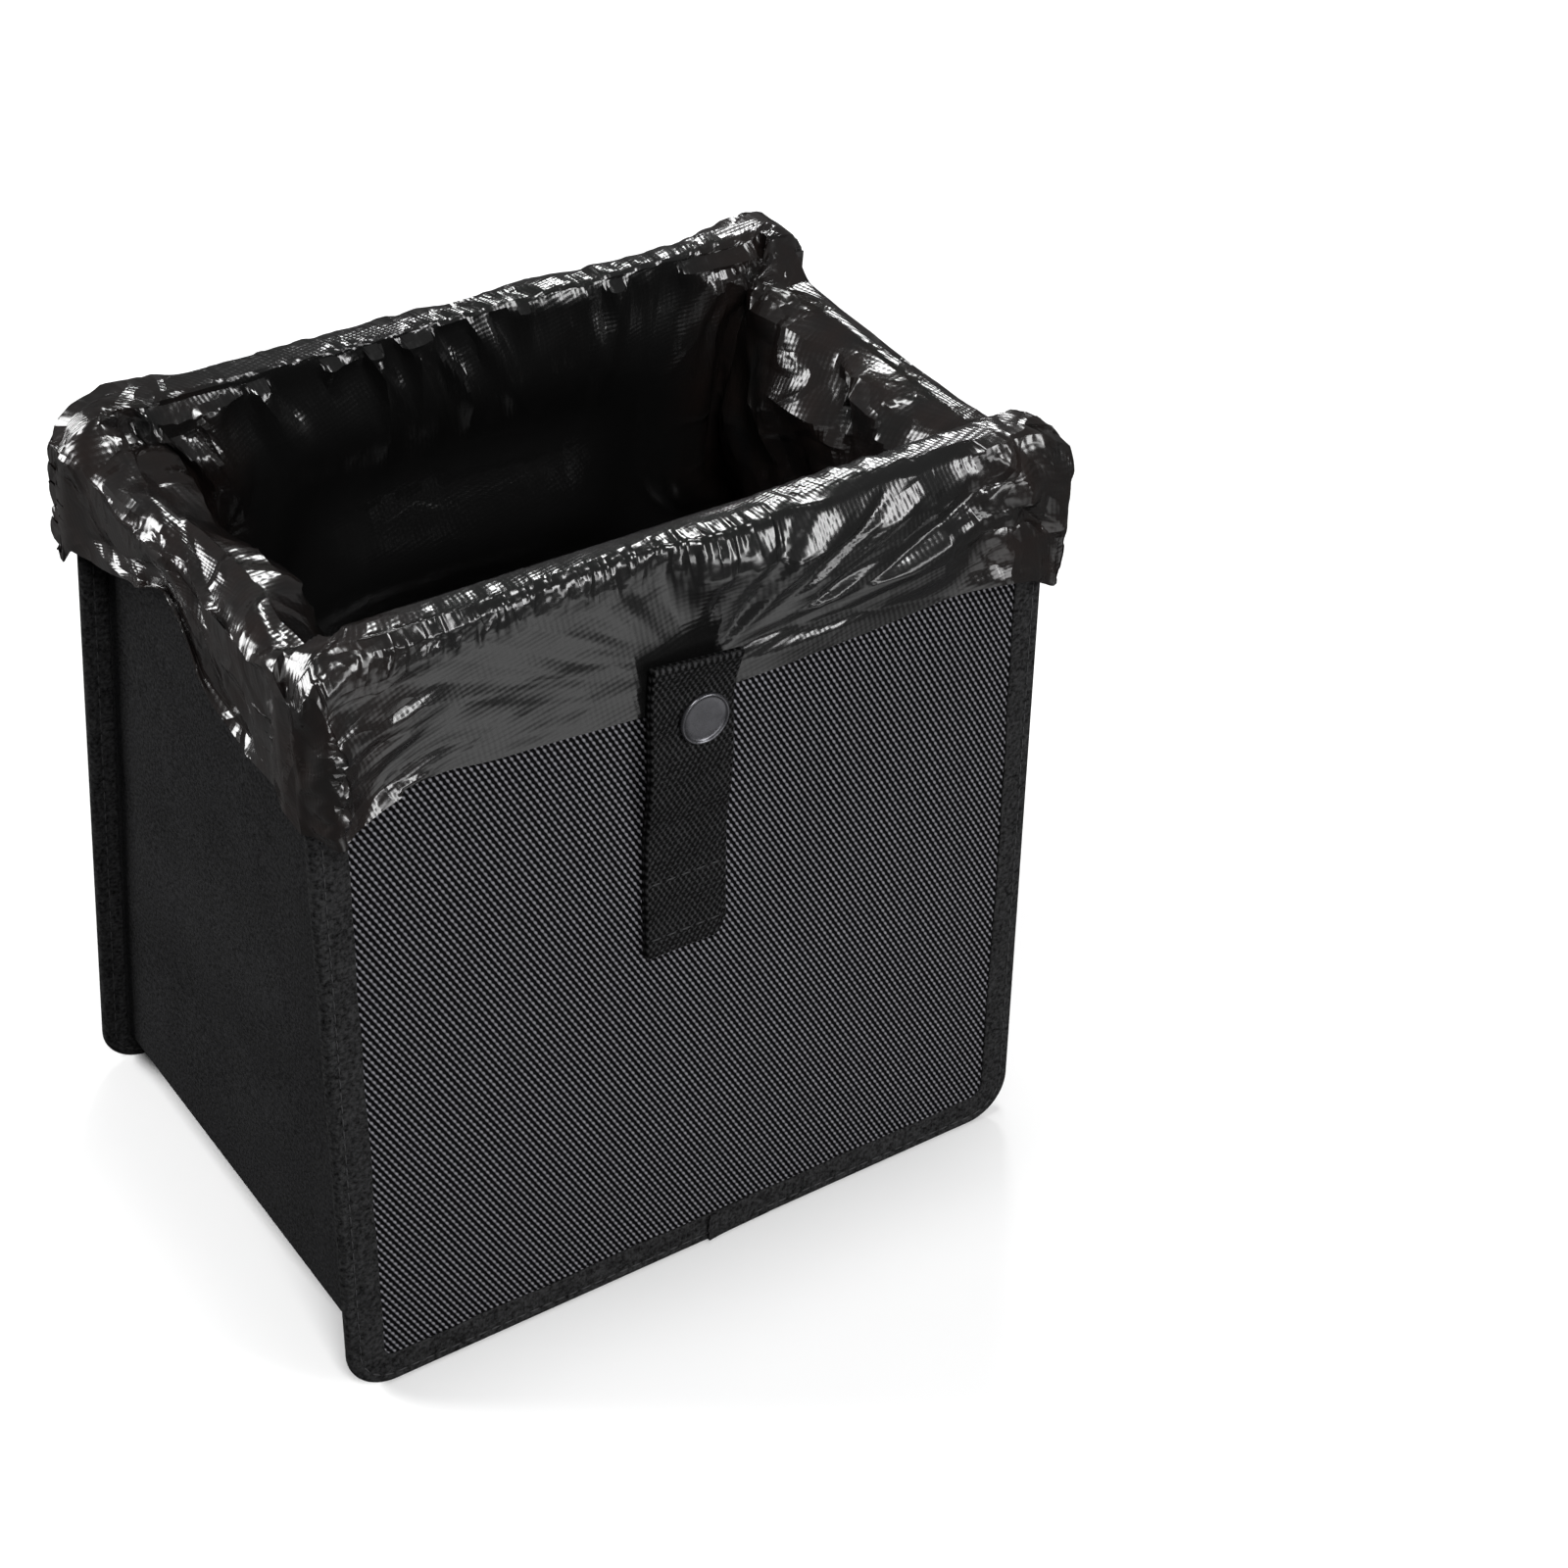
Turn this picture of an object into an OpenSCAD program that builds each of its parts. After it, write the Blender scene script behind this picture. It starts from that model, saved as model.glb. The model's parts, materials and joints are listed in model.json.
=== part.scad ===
// Foldable car trash bin: two stiff taped panels, a soft gusset between them, a snap tab and a liner bag.
// Millimetres, +Z up. The front panel faces -Y and the origin is the middle of the footprint on the floor.

/* [Bin] */
// Width of the two panels
width = 224; // [190:1:300]
// Depth over both panels at the floor
depth = 158; // [130:1:220]
// Height of the panels above the floor
height = 236; // [190:1:300]
// Inward lean of each panel, in degrees
lean = 4.2; // [0:0.1:6]
// Radius of the panel corners
corner_r = 14; // [12:1:24]

/* [Panels] */
// Thickness of the woven facing
facing_t = 0.6; // [0.4:0.1:1.2]
// Thickness of the stiff board
board_t = 1.2; // [0.8:0.1:2.5]
// Thickness of the inner lining
lining_t = 0.4; // [0.3:0.1:0.8]

/* [Gusset] */
// Thickness of the gusset cloth
gusset_t = 0.6; // [0.4:0.1:1.2]
// How far the panel edges stand out beyond the gusset
flange_w = 7.5; // [6:0.5:10]
// How far the side rims sit below the panel tops
side_drop = 13; // [6:1:20]
// Thickness of the loose board in the base
base_board_t = 2; // [1:0.5:4]

/* [Binding tape] */
// Width of the tape leaf on the front of a panel
tape_w = 10; // [8.5:0.5:11.5]
// Thickness of the tape
tape_t = 0.6; // [0.4:0.1:0.8]
// How far the tape is pressed flat where the bin stands on it
foot_press = 0.15; // [0.05:0.05:0.3]
// Height of the tape on the side rims
rim_tape_w = 9; // [6:1:14]
// Length of the overlap where the tape ends meet
overlap_l = 14; // [8:1:30]
// Place of the cut tape end, right of the centre
overlap_x = 3; // [-20:1:20]

/* [Thread] */
// Distance from one stitch to the next
stitch_pitch = 5; // [3:0.5:8]
// Length of one stitch
stitch_l = 3.2; // [1.5:0.1:4]
// Thickness of the thread
thread_d = 0.4; // [0.2:0.1:0.6]
// Distance of the stitch row from the panel edge
stitch_inset = 3.4; // [2.5:0.1:5]

/* [Strap] */
// Width of the webbing
strap_w = 25; // [20:1:38]
// Thickness of one layer of webbing
web_t = 1.5; // [1:0.1:2]
// Length of the strap
strap_l = 92; // [60:1:110]
// Distance from the panel top down to the strap top
strap_drop = 33; // [20:1:60]
// Sideways place of the strap
strap_x = -5; // [-60:1:60]
// Cut at the lower corner of the strap, sideways and upwards
strap_cut = [3, 5]; // [1:1:10]

/* [Snap] */
// Diameter of the snap cap
cap_d = 15; // [12:0.5:20]
// Distance from the strap top down to the snap
snap_drop = 19; // [12:1:40]
// Sideways place of the snap on the strap
snap_x = 3; // [-6:0.5:6]
// Diameter of the stud knob
knob_d = 4.4; // [3:0.1:6]

/* [Liner bag] */
// Thickness of the liner film
film_t = 0.5; // [0.4:0.1:1]
// How far the cuff hangs below the panel top
cuff_l = 47; // [25:1:70]
// Depth of the folds in the cuff
cuff_fold = 3.2; // [0:0.1:5]
// Depth of the folds inside the bag
inner_fold = 5; // [0:0.5:10]
// Height of the gathers along the rim
rim_gather = 1.6; // [0:0.1:4]
// Depth of the creases that fan out from the strap
fan_depth = 3.5; // [0:0.1:6]
// How far the sides of the cuff are pulled in between the panels
side_pull = 5; // [0:0.5:6]

/* [Hidden] */
$fn = 48;
$fa = 6;
panel_t = 2 * tape_t + facing_t + board_t + lining_t + gusset_t;
nose_r = panel_t / 2;
inner_leaf_w = flange_w - 0.3;
foot_lift = nose_r * (1 - cos(lean) + sin(lean)) - foot_press;
panel_h = nose_r + (height - nose_r + nose_r * sin(lean) - foot_lift) / cos(lean);
facing_y = tape_t;
board_y = facing_y + facing_t;
lining_y = board_y + board_t;
seam_y = lining_y + lining_t;
gusset_x = width / 2 - flange_w;
gusset_z = flange_w;
gusset_r = corner_r - flange_w;
gusset_top = height - side_drop;
seam_top = gusset_top / cos(lean);
strap_top = panel_h - strap_drop;
strap_lift = 2.6;
snap_at = [strap_x + snap_x, strap_top - snap_drop];
post_d = 3.2;
board_z = gusset_z + gusset_t;
film_z = board_z + base_board_t + 0.6;

// Placing. A panel is drawn lying down: X across, Y up the panel, -Z into the bin.
module front_place() {
    translate([0, -depth / 2, foot_lift]) rotate([90 - lean, 0, 0]) children();
}

module back_place() {
    rotate([0, 0, 180]) front_place() children();
}

// A layer of a panel from depth y0 to depth y0 + t below the outer face.
module layer(y0, t) {
    translate([0, 0, -y0 - t]) linear_extrude(t) children();
}

// The space between the two panels, c mm in from their outer faces.
module between(c) {
    far = 2 * (width + depth + height);
    intersection() {
        front_place() translate([-far / 2, -far / 2, -c - far]) cube(far);
        back_place() translate([-far / 2, -far / 2, -c - far]) cube(far);
    }
}

module round_rect(w, h, r) {
    square([w - 2 * r, h], center = true);
    square([w, h - 2 * r], center = true);
    for (x = [-1, 1], y = [-1, 1]) {
        translate([x * (w / 2 - r), y * (h / 2 - r)]) circle(r);
    }
}

// The panel outline, drawn in by e from the outer edge of the tape.
module outline(e) {
    translate([0, panel_h / 2]) round_rect(width - 2 * e, panel_h - 2 * e, corner_r - e);
}

module snap_hole() {
    translate(snap_at) circle(d = post_d);
}

module facing() {
    layer(facing_y, facing_t) difference() {
        outline(nose_r);
        snap_hole();
    }
}

module back_sheet(y0, t) {
    layer(y0, t) outline(nose_r);
}

module board() {
    layer(board_y, board_t) difference() {
        outline(nose_r);
        snap_hole();
    }
}

// The lining is folded double above the gusset, where the seam is one layer thinner.
module lining() {
    layer(lining_y, lining_t) difference() {
        outline(nose_r);
        snap_hole();
    }
    lining_hem();
}

module lining_hem() {
    layer(seam_y, gusset_t) intersection() {
        outline(nose_r);
        translate([-width / 2, seam_top + 0.3]) square([width, panel_h]);
    }
}

// Section of the tape folded round the panel edge: X outwards, Y out of the front face.
module tape_section() {
    intersection() {
        translate([-nose_r, -nose_r]) difference() {
            circle(nose_r);
            circle(nose_r - tape_t);
        }
        translate([-nose_r, -2 * nose_r]) square([nose_r, 2 * nose_r]);
    }
    translate([-tape_w, -tape_t]) square([tape_w - nose_r, tape_t]);
    translate([-inner_leaf_w, -2 * nose_r]) square([inner_leaf_w - nose_r, tape_t]);
}

module tape_run(l) {
    rotate([90, 0, 0]) linear_extrude(l, center = true) tape_section();
}

module tape_ring() {
    straight_x = width - 2 * corner_r;
    straight_y = panel_h - 2 * corner_r;
    translate([0, panel_h / 2, 0]) {
        for (s = [0, 180]) {
            rotate([0, 0, s]) {
                translate([width / 2, 0, 0]) tape_run(straight_y);
                translate([0, panel_h / 2, 0]) rotate([0, 0, 90]) tape_run(straight_x);
                translate([straight_x / 2, straight_y / 2, 0]) tape_turn();
                translate([-straight_x / 2, straight_y / 2, 0]) rotate([0, 0, 90]) tape_turn();
            }
        }
    }
}

module tape_turn() {
    rotate_extrude(angle = 90) translate([corner_r, 0]) tape_section();
}

// The free end of the tape lies over its start in the middle of the bottom edge.
module tape_end() {
    layer(-tape_t, tape_t) difference() {
        translate([overlap_x, nose_r / 2]) square([overlap_l, tape_w - nose_r / 2 + 0.4]);
        translate([overlap_x - 14.2, tape_w / 2]) circle(15);
    }
}

module binding() {
    tape_ring();
    tape_end();
}

// Cuts off what would reach below the floor.
module on_floor() {
    far = 2 * (width + depth);
    difference() {
        children();
        translate([-far / 2, -far / 2, -nose_r]) cube([far, far, nose_r]);
    }
}

// One stitch lying along X on the tape, above the face at height z.
module stitch(z) {
    translate([-stitch_l / 2, -thread_d / 2, z]) cube([stitch_l, thread_d, thread_d * 0.8]);
}

// A closed row of stitches round the panel at height z; the front row climbs over the tape end.
module stitch_row(z, over_end) {
    run_x = width - 2 * corner_r;
    run_y = panel_h - 2 * corner_r;
    r = corner_r - stitch_inset;
    nx = floor(run_x / stitch_pitch);
    ny = floor(run_y / stitch_pitch);
    nr = max(2, floor(r * PI / 2 / stitch_pitch));
    translate([0, panel_h / 2, 0]) {
        for (i = [0 : nx - 1]) {
            x = (i + 0.5 - nx / 2) * run_x / nx;
            on_end = x + stitch_l / 2 > overlap_x && x - stitch_l / 2 < overlap_x + overlap_l;
            translate([x, panel_h / 2 - stitch_inset, 0]) stitch(z);
            translate([x, stitch_inset - panel_h / 2, 0]) stitch(over_end && on_end ? z + tape_t : z);
        }
        for (i = [0 : ny - 1], s = [-1, 1]) {
            y = (i + 0.5 - ny / 2) * run_y / ny;
            translate([s * (width / 2 - stitch_inset), y, 0]) rotate([0, 0, 90]) stitch(z);
        }
        for (a = [0 : 90 : 270], i = [0 : nr - 1]) {
            turn = a + (i + 0.5) * 90 / nr;
            cx = (a == 0 || a == 270 ? 1 : -1) * run_x / 2;
            cy = (a < 180 ? 1 : -1) * run_y / 2;
            translate([cx, cy, 0]) rotate([0, 0, turn]) translate([r, 0, 0]) rotate([0, 0, 90]) stitch(z);
        }
    }
}

module stitches() {
    stitch_row(0, true);
    stitch_row(-panel_t - thread_d * 0.8, false);
}

// The gusset in the XZ plane: the outside of its U, drawn in by e.
module gusset_outline(e, top) {
    x = gusset_x - e;
    z = gusset_z + e;
    r = gusset_r - e;
    translate([-x, z + r]) square([2 * x, top - z - r]);
    translate([r - x, z]) square([2 * (x - r), r + 1]);
    for (s = [-1, 1]) {
        translate([s * (x - r), z + r]) circle(r);
    }
}

module across(l) {
    rotate([90, 0, 0]) linear_extrude(l, center = true) children();
}

// Left side, base and right side are one strip of cloth, turned out along the panel edges for sewing.
module gusset() {
    long = depth * 2;
    color("dimgray") {
        difference() {
            union() {
                intersection() {
                    across(long) gusset_outline(0, gusset_top);
                    between(seam_y);
                }
                front_place() seam_flange();
                back_place() seam_flange();
            }
            across(long) gusset_outline(gusset_t, height * 2);
        }
    }
}

module seam_flange() {
    layer(seam_y, gusset_t) intersection() {
        outline(nose_r);
        translate([-width / 2, 0]) square([width, seam_top]);
    }
}

module base_board() {
    half = gusset_x - gusset_r;
    color("saddlebrown") intersection() {
        translate([-half, -depth / 2, board_z]) cube([2 * half, depth, base_board_t]);
        between(panel_t + 0.5);
    }
}

// Tape folded over the top edge of a gusset wall.
module rim_binding(side) {
    out_r = gusset_t / 2 + tape_t;
    mid = gusset_x - gusset_t / 2;
    intersection() {
        translate([side * mid, 0, gusset_top]) across(depth * 2) difference() {
            union() {
                circle(out_r);
                translate([-out_r, -rim_tape_w]) square([2 * out_r, rim_tape_w]);
            }
            translate([-gusset_t / 2, -rim_tape_w - 1]) square([gusset_t, rim_tape_w + 1]);
        }
        between(panel_t + 0.2);
    }
}

// Lift of the strap off the facing at height s below its top: sewn flat below, standing off at the snap.
function strap_off(s) = let (t = min(max((s - strap_l * 0.36) / (strap_l * 0.28), 0), 1))
    strap_lift * (1 - t * t * (3 - 2 * t));

// Side view of the strap: two layers of webbing joined by the fold at the top.
module strap_side() {
    steps = 24;
    fold = web_t;
    thick = 2 * web_t;
    up = [for (i = [0 : steps]) strap_l + (fold - strap_l) * i / steps];
    down = [for (i = [0 : steps]) fold + (strap_l - fold) * i / steps];
    back = [for (s = up) [-s, strap_off(s)]];
    turn = [for (a = [-75 : 15 : 75]) [web_t * cos(a) - fold, strap_lift + web_t + web_t * sin(a)]];
    face = [for (s = down) [-s, strap_off(s) + thick]];
    polygon(concat(back, turn, face));
}

// The gap between the two layers, closed at the fold.
module strap_gap() {
    steps = 24;
    gap = 0.12;
    from = 4;
    to = strap_l + 1;
    at = [for (i = [0 : steps]) from + (to - from) * i / steps];
    low = [for (s = at) [-s, strap_off(s) + web_t - gap]];
    high = [for (i = [0 : steps]) let (s = at[steps - i]) [-s, strap_off(s) + web_t + gap]];
    polygon(concat(low, high));
}

module strap() {
    color("dimgray") front_place() translate([strap_x, strap_top, -facing_y]) difference() {
        rotate([0, -90, 0]) rotate([0, 0, 90]) linear_extrude(strap_w, center = true) {
            mirror([0, 1]) difference() {
                strap_side();
                strap_gap();
            }
        }
        translate([snap_x, -snap_drop, -1]) cylinder(d = post_d, h = strap_lift + 2 * web_t + 2);
        translate([strap_w / 2 - strap_cut[0], -strap_l, -1]) rotate([0, 0, -atan(strap_cut[0] / strap_cut[1])]) {
            translate([0, -strap_cut[1] * 2, 0]) cube([strap_cut[1] * 4, strap_cut[1] * 6, 20]);
        }
    }
}

// Two rows of stitches hold the lower end of the strap.
module strap_stitches() {
    n = floor((strap_w - 6) / (stitch_pitch * 0.8));
    color("black") front_place() translate([strap_x, strap_top, 2 * web_t - facing_y]) {
        for (i = [0 : n - 1], d = [6, 24]) {
            x = (i + 0.5 - n / 2) * (strap_w - 8) / n - 1;
            translate([x, d - strap_l, 0]) stitch(0);
        }
    }
}

module snap_place(z) {
    front_place() translate([snap_at[0], snap_at[1], z - facing_y]) children();
}

// Flat cap with a raised round rim; its shank goes through both layers of webbing.
module snap_cap() {
    rim = 0.7;
    top = strap_lift + 2 * web_t;
    color("slategray") snap_place(top) {
        rotate_extrude() {
            square([cap_d / 2 - rim, 0.9]);
            translate([cap_d / 2 - rim, rim]) circle(rim);
            translate([0, -2 * web_t]) square([post_d / 2 - 0.3, 2 * web_t]);
        }
    }
}

module snap_socket() {
    wall = 1.3;
    color("slategray") snap_place(strap_lift - wall) difference() {
        cylinder(d = cap_d * 0.7, h = wall);
        translate([0, 0, -1]) cylinder(d = knob_d + 0.6, h = wall + 0.7);
        translate([0, 0, -1]) cylinder(d = post_d - 0.6, h = wall + 2);
    }
}

module snap_stud() {
    color("slategray") snap_place(0) rotate_extrude() {
        square([cap_d * 0.37, 0.6]);
        translate([0, 0.5]) square([knob_d / 2 - 0.3, 1.3]);
        translate([0, 1]) square([knob_d / 2, 0.6]);
    }
}

module snap_post() {
    grip = facing_t + board_t + lining_t;
    color("slategray") snap_place(-grip) {
        cylinder(d = post_d - 0.3, h = grip);
        translate([0, 0, -0.5]) cylinder(d = cap_d * 0.6, h = 0.5);
    }
}

// Liner bag. Its film is a grid of points: columns run round the mouth, rows run from the bottom of
// the bag up the inside, over the rims and down the cuff. Every fold below is a formula in place.
n_front = 46;
n_turn = 7;
n_side = 30;
n_half = n_front + n_side + 2 * n_turn;
n_cols = 2 * n_half;
wall_z = [0.03, 0.3, 0.6, 0.88];
over_at = [0, 0.22, 0.5, 0.78, 1];
hang_at = [0.2, 0.45, 0.72, 1];
n_rows = 2 + len(wall_z) + len(over_at) + len(hang_at);

// Distance of a panel plane from the middle of the bin at height z, c mm in from the outer face.
function face_y(z, c) = depth / 2 - (z - foot_lift) * tan(lean) - c / cos(lean);

// Column j on a rounded rectangle with half sizes a and b and corner radius r, anticlockwise from above.
function plan_half(a, b, r, i) =
    i < n_front ? [(2 * i / n_front - 1) * (a - r), -b] :
    i < n_front + n_turn ? let (t = -90 + 90 * (i - n_front) / n_turn)
        [a - r + r * cos(t), r - b + r * sin(t)] :
    i < n_front + n_turn + n_side ? [a, (2 * (i - n_front - n_turn) / n_side - 1) * (b - r)] :
    let (t = 90 * (i - n_front - n_turn - n_side) / n_turn) [a - r + r * cos(t), b - r + r * sin(t)];
function plan(a, b, r, j) = j < n_half ? plan_half(a, b, r, j) : -plan_half(a, b, r, j - n_half);

// Direction out of the mouth at column j.
function out_half(i) =
    i < n_front ? [0, -1] :
    i < n_front + n_turn ? let (t = -90 + 90 * (i - n_front) / n_turn) [cos(t), sin(t)] :
    i < n_front + n_turn + n_side ? [1, 0] :
    let (t = 90 * (i - n_front - n_turn - n_side) / n_turn) [cos(t), sin(t)];
function out(j) = j < n_half ? out_half(j) : -out_half(j - n_half);

// Height of what the film lies over: the round-cornered panels, with a ramp down to the side rims.
side_z = gusset_top + gusset_t / 2 + tape_t;
function panel_top(x) = let (d = min(max(abs(x) - width / 2 + corner_r - 2, 0), corner_r))
    height - corner_r + sqrt(corner_r * corner_r - d * d);
function ramp(y) = min(max((abs(y) - face_y(height, panel_t) + 13) / 11, 0), 1);
function rest_z(p) = side_z + max(panel_top(p[0]) - side_z, 0) * ramp(p[1]);

// Folds: a few waves of unlike length keep their crests from lining up.
function wave(j, a, b, c) = let (u = 360 * j / n_cols)
    0.5 + 0.22 * sin(a * u + 40) + 0.16 * sin(b * u + 110) + 0.12 * sin(c * u + 200);
function near_strap(x) = abs(x - strap_x) / (strap_w / 2);
function is_front(j) = j > 0 && j < n_front;

// Creases fan out from the top of the strap, and the film lies flat below the strap itself.
function fan(p, j) = let (d = near_strap(p[0]))
    !is_front(j) ? 0 :
    d < 1.15 ? 0 :
    fan_depth * exp(-(d - 1.15) * 0.55) * pow(cos((d * 2.1 + (height - p[2]) * 0.02) * 180), 2);
function hold(p, j) = is_front(j) ? min(max((near_strap(p[0]) - 1.1) * 1.5, 0), 1) : 1;

// Lower edge of the cuff.
function edge_front(x) = height - cuff_l + 5 * exp(-pow((x + 0.36 * width) / 22, 2))
    + 2 * exp(-pow((x - 0.36 * width) / 26, 2)) - 3 * exp(-pow((x - strap_x) / 26, 2))
    - 6 * pow(abs(x) / (width / 2), 6) + (near_strap(x) < 0.85 ? 11 : 0);
function edge_side(y) = height - cuff_l - 2 + 14 * exp(-pow((y - 22) / 30, 2)) - 6 * pow(abs(y) / (depth / 2), 2);
function edge_z(p, j) = is_front(j) ? edge_front(p[0]) :
    p[0] < 0 && abs(p[1]) < face_y(height, panel_t) ? edge_side(p[1]) :
    height - cuff_l - 2 + 5 * sin(1500 * j / n_cols);

// Rows of the grid.
function bottom_point(j, f) = let (p = plan(gusset_x - 6, face_y(film_z, panel_t + 5), 16, j))
    [p[0] * f, p[1] * f, film_z + (f < 0.9 ? 0 : 0.6)];
function wall_point(j, f) = let (
    z = film_z + f * (height - side_drop - film_z),
    p = plan(gusset_x - gusset_t - tape_t - 1.3, face_y(z, panel_t + 1.6), 11, j),
    d = inner_fold * sqrt(f) * (0.3 + 0.7 * f) * wave(j, 17, 29, 41))
    [p[0] - out(j)[0] * d, p[1] - out(j)[1] * d, z];
function side_in(p) = side_pull * (1 - pow(min(abs(p[1]) / face_y(height, panel_t), 1), 3));
function outer_plan(j, z) = let (p = plan(width / 2 + 1.2, face_y(z, -1), 4, j))
    abs(p[1]) < face_y(height, panel_t - 1) ? [p[0] - sign(p[0]) * side_in(p), p[1]] : p;
function over_point(j, s) = let (
    a = plan(gusset_x - gusset_t - tape_t - 1.3, face_y(height, panel_t + 1.6), 9, j),
    b = outer_plan(j, height),
    p = a + (b - a) * s,
    lift = 1 - pow(abs(2 * s - 1), 3) * 2.4)
    [p[0], p[1], rest_z(p) + 1.1 * lift + rim_gather * (0.2 + wave(j, 19, 37, 53)) * (1 - pow(2 * s - 1, 2)) * 0.6];
function cuff_point(j, s) = let (
    top = over_point(j, 1),
    low = edge_z(outer_plan(j, height - cuff_l), j),
    z = top[2] + (low - top[2]) * s,
    p = outer_plan(j, z),
    q = [p[0], p[1], z],
    d = hold(q, j) * (cuff_fold * pow(s, 0.7) * wave(j, 13, 31, 47) + fan(q, j) * (0.35 + 0.65 * sin(180 * s))))
    [q[0] + out(j)[0] * d, q[1] + out(j)[1] * d, q[2]];
function grid_point(j, k) =
    k < 2 ? bottom_point(j, k == 0 ? 0.5 : 1) :
    k < 2 + len(wall_z) ? wall_point(j, wall_z[k - 2]) :
    k < 2 + len(wall_z) + len(over_at) ? over_point(j, over_at[k - 2 - len(wall_z)]) :
    cuff_point(j, hang_at[k - 2 - len(wall_z) - len(over_at)]);
grid = [for (k = [0 : n_rows - 1]) [for (j = [0 : n_cols - 1]) grid_point(j, k)]];
function unit(v) = v / max(norm(v), 0.000001);
function at(j, k) = grid[min(max(k, 0), n_rows - 1)][(j + n_cols) % n_cols];
function side_of(j, k) = k == 0 ? [0, 0, 1] : unit(cross(at(j, k + 1) - at(j, k - 1), at(j + 1, k) - at(j - 1, k)));

// Two skins, film_t apart, are closed by a strip at the edge of the cuff.
module liner_bag() {
    inner = [for (k = [0 : n_rows - 1], j = [0 : n_cols - 1]) at(j, k) + side_of(j, k) * film_t / 2];
    outer = [for (k = [0 : n_rows - 1], j = [0 : n_cols - 1]) at(j, k) - side_of(j, k) * film_t / 2];
    mid = [[0, 0, film_z + film_t / 2], [0, 0, film_z - film_t / 2]];
    m = n_cols * n_rows;
    faces = [for (k = [0 : n_rows - 2], j = [0 : n_cols - 1]) let (a = k * n_cols + j, b = k * n_cols + (j + 1) % n_cols)
        each [[a, b, a + n_cols], [b, b + n_cols, a + n_cols],
            [m + a, m + a + n_cols, m + b], [m + b, m + a + n_cols, m + b + n_cols]]];
    fans = [for (j = [0 : n_cols - 1]) let (b = (j + 1) % n_cols)
        each [[2 * m, b, j], [2 * m + 1, m + j, m + b]]];
    hem = [for (j = [0 : n_cols - 1]) let (a = m - n_cols + j, b = m - n_cols + (j + 1) % n_cols)
        each [[a, b, m + a], [b, m + b, m + a]]];
    color("black") polyhedron(points = concat(inner, outer, mid), faces = concat(faces, fans, hem), convexity = 10);
}

module front_facing() {
    color("gray") front_place() facing();
}

module front_board() {
    color("tan") front_place() board();
}

module front_lining() {
    color("silver") front_place() lining();
}

module front_binding() {
    color("dimgray") on_floor() front_place() binding();
}

module front_stitches() {
    color("black") front_place() stitches();
}

module back_facing() {
    color("gray") back_place() back_sheet(facing_y, facing_t);
}

module back_board() {
    color("tan") back_place() back_sheet(board_y, board_t);
}

module back_lining() {
    color("silver") back_place() {
        back_sheet(lining_y, lining_t);
        lining_hem();
    }
}

module back_binding() {
    color("dimgray") on_floor() back_place() binding();
}

module back_stitches() {
    color("black") back_place() stitches();
}

module left_rim_binding() {
    color("dimgray") rim_binding(-1);
}

module right_rim_binding() {
    color("dimgray") rim_binding(1);
}

front_facing();
front_board();
front_lining();
front_binding();
front_stitches();
back_facing();
back_board();
back_lining();
back_binding();
back_stitches();
gusset();
base_board();
left_rim_binding();
right_rim_binding();
strap();
strap_stitches();
snap_cap();
snap_socket();
snap_stud();
snap_post();
liner_bag();
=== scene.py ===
"""Dresses the solids of a car trash bin: woven panels, bound edges, webbing tab, press stud and liner bag."""
import json
import math
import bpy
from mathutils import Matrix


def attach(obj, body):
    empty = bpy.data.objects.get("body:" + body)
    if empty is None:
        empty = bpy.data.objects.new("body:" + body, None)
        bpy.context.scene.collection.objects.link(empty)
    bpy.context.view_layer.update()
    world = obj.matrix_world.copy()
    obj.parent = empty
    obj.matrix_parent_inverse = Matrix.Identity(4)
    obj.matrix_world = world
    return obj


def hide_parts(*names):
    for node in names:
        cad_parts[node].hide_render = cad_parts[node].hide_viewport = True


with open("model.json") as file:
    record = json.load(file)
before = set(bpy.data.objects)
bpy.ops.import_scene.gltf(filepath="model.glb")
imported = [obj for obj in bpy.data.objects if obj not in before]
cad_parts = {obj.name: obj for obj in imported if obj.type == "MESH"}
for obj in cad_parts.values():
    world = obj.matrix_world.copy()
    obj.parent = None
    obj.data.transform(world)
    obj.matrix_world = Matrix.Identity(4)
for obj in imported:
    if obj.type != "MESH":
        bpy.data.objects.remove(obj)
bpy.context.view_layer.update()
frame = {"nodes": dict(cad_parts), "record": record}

from types import SimpleNamespace

import bpy
import numpy as np
from bpy.props import FloatProperty, FloatVectorProperty, IntProperty, PointerProperty
from mathutils import Quaternion, Vector

bl_info = {
    "name": "Car trash bin dressing",
    "version": (1, 0, 0),
    "blender": (4, 5, 0),
    "location": "3D View > Sidebar > Trash Bin",
    "description": "Makes the cloth, tape, webbing, press stud and liner bag of a car trash bin over its solids",
    "category": "Object",
}


def length(name, description, default, **more):
    """A size in metres, written here in millimetres."""
    return FloatProperty(name=name, description=description, default=default / 1000, unit="LENGTH", precision=5, **more)


def angle(name, description, default):
    """An angle in radians, written here in degrees."""
    return FloatProperty(name=name, description=description, default=math.radians(default), subtype="ANGLE")


def shade(name, description, default):
    """A colour."""
    return FloatVectorProperty(name=name, description=description, default=default, size=3, subtype="COLOR", min=0, max=1)


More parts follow.
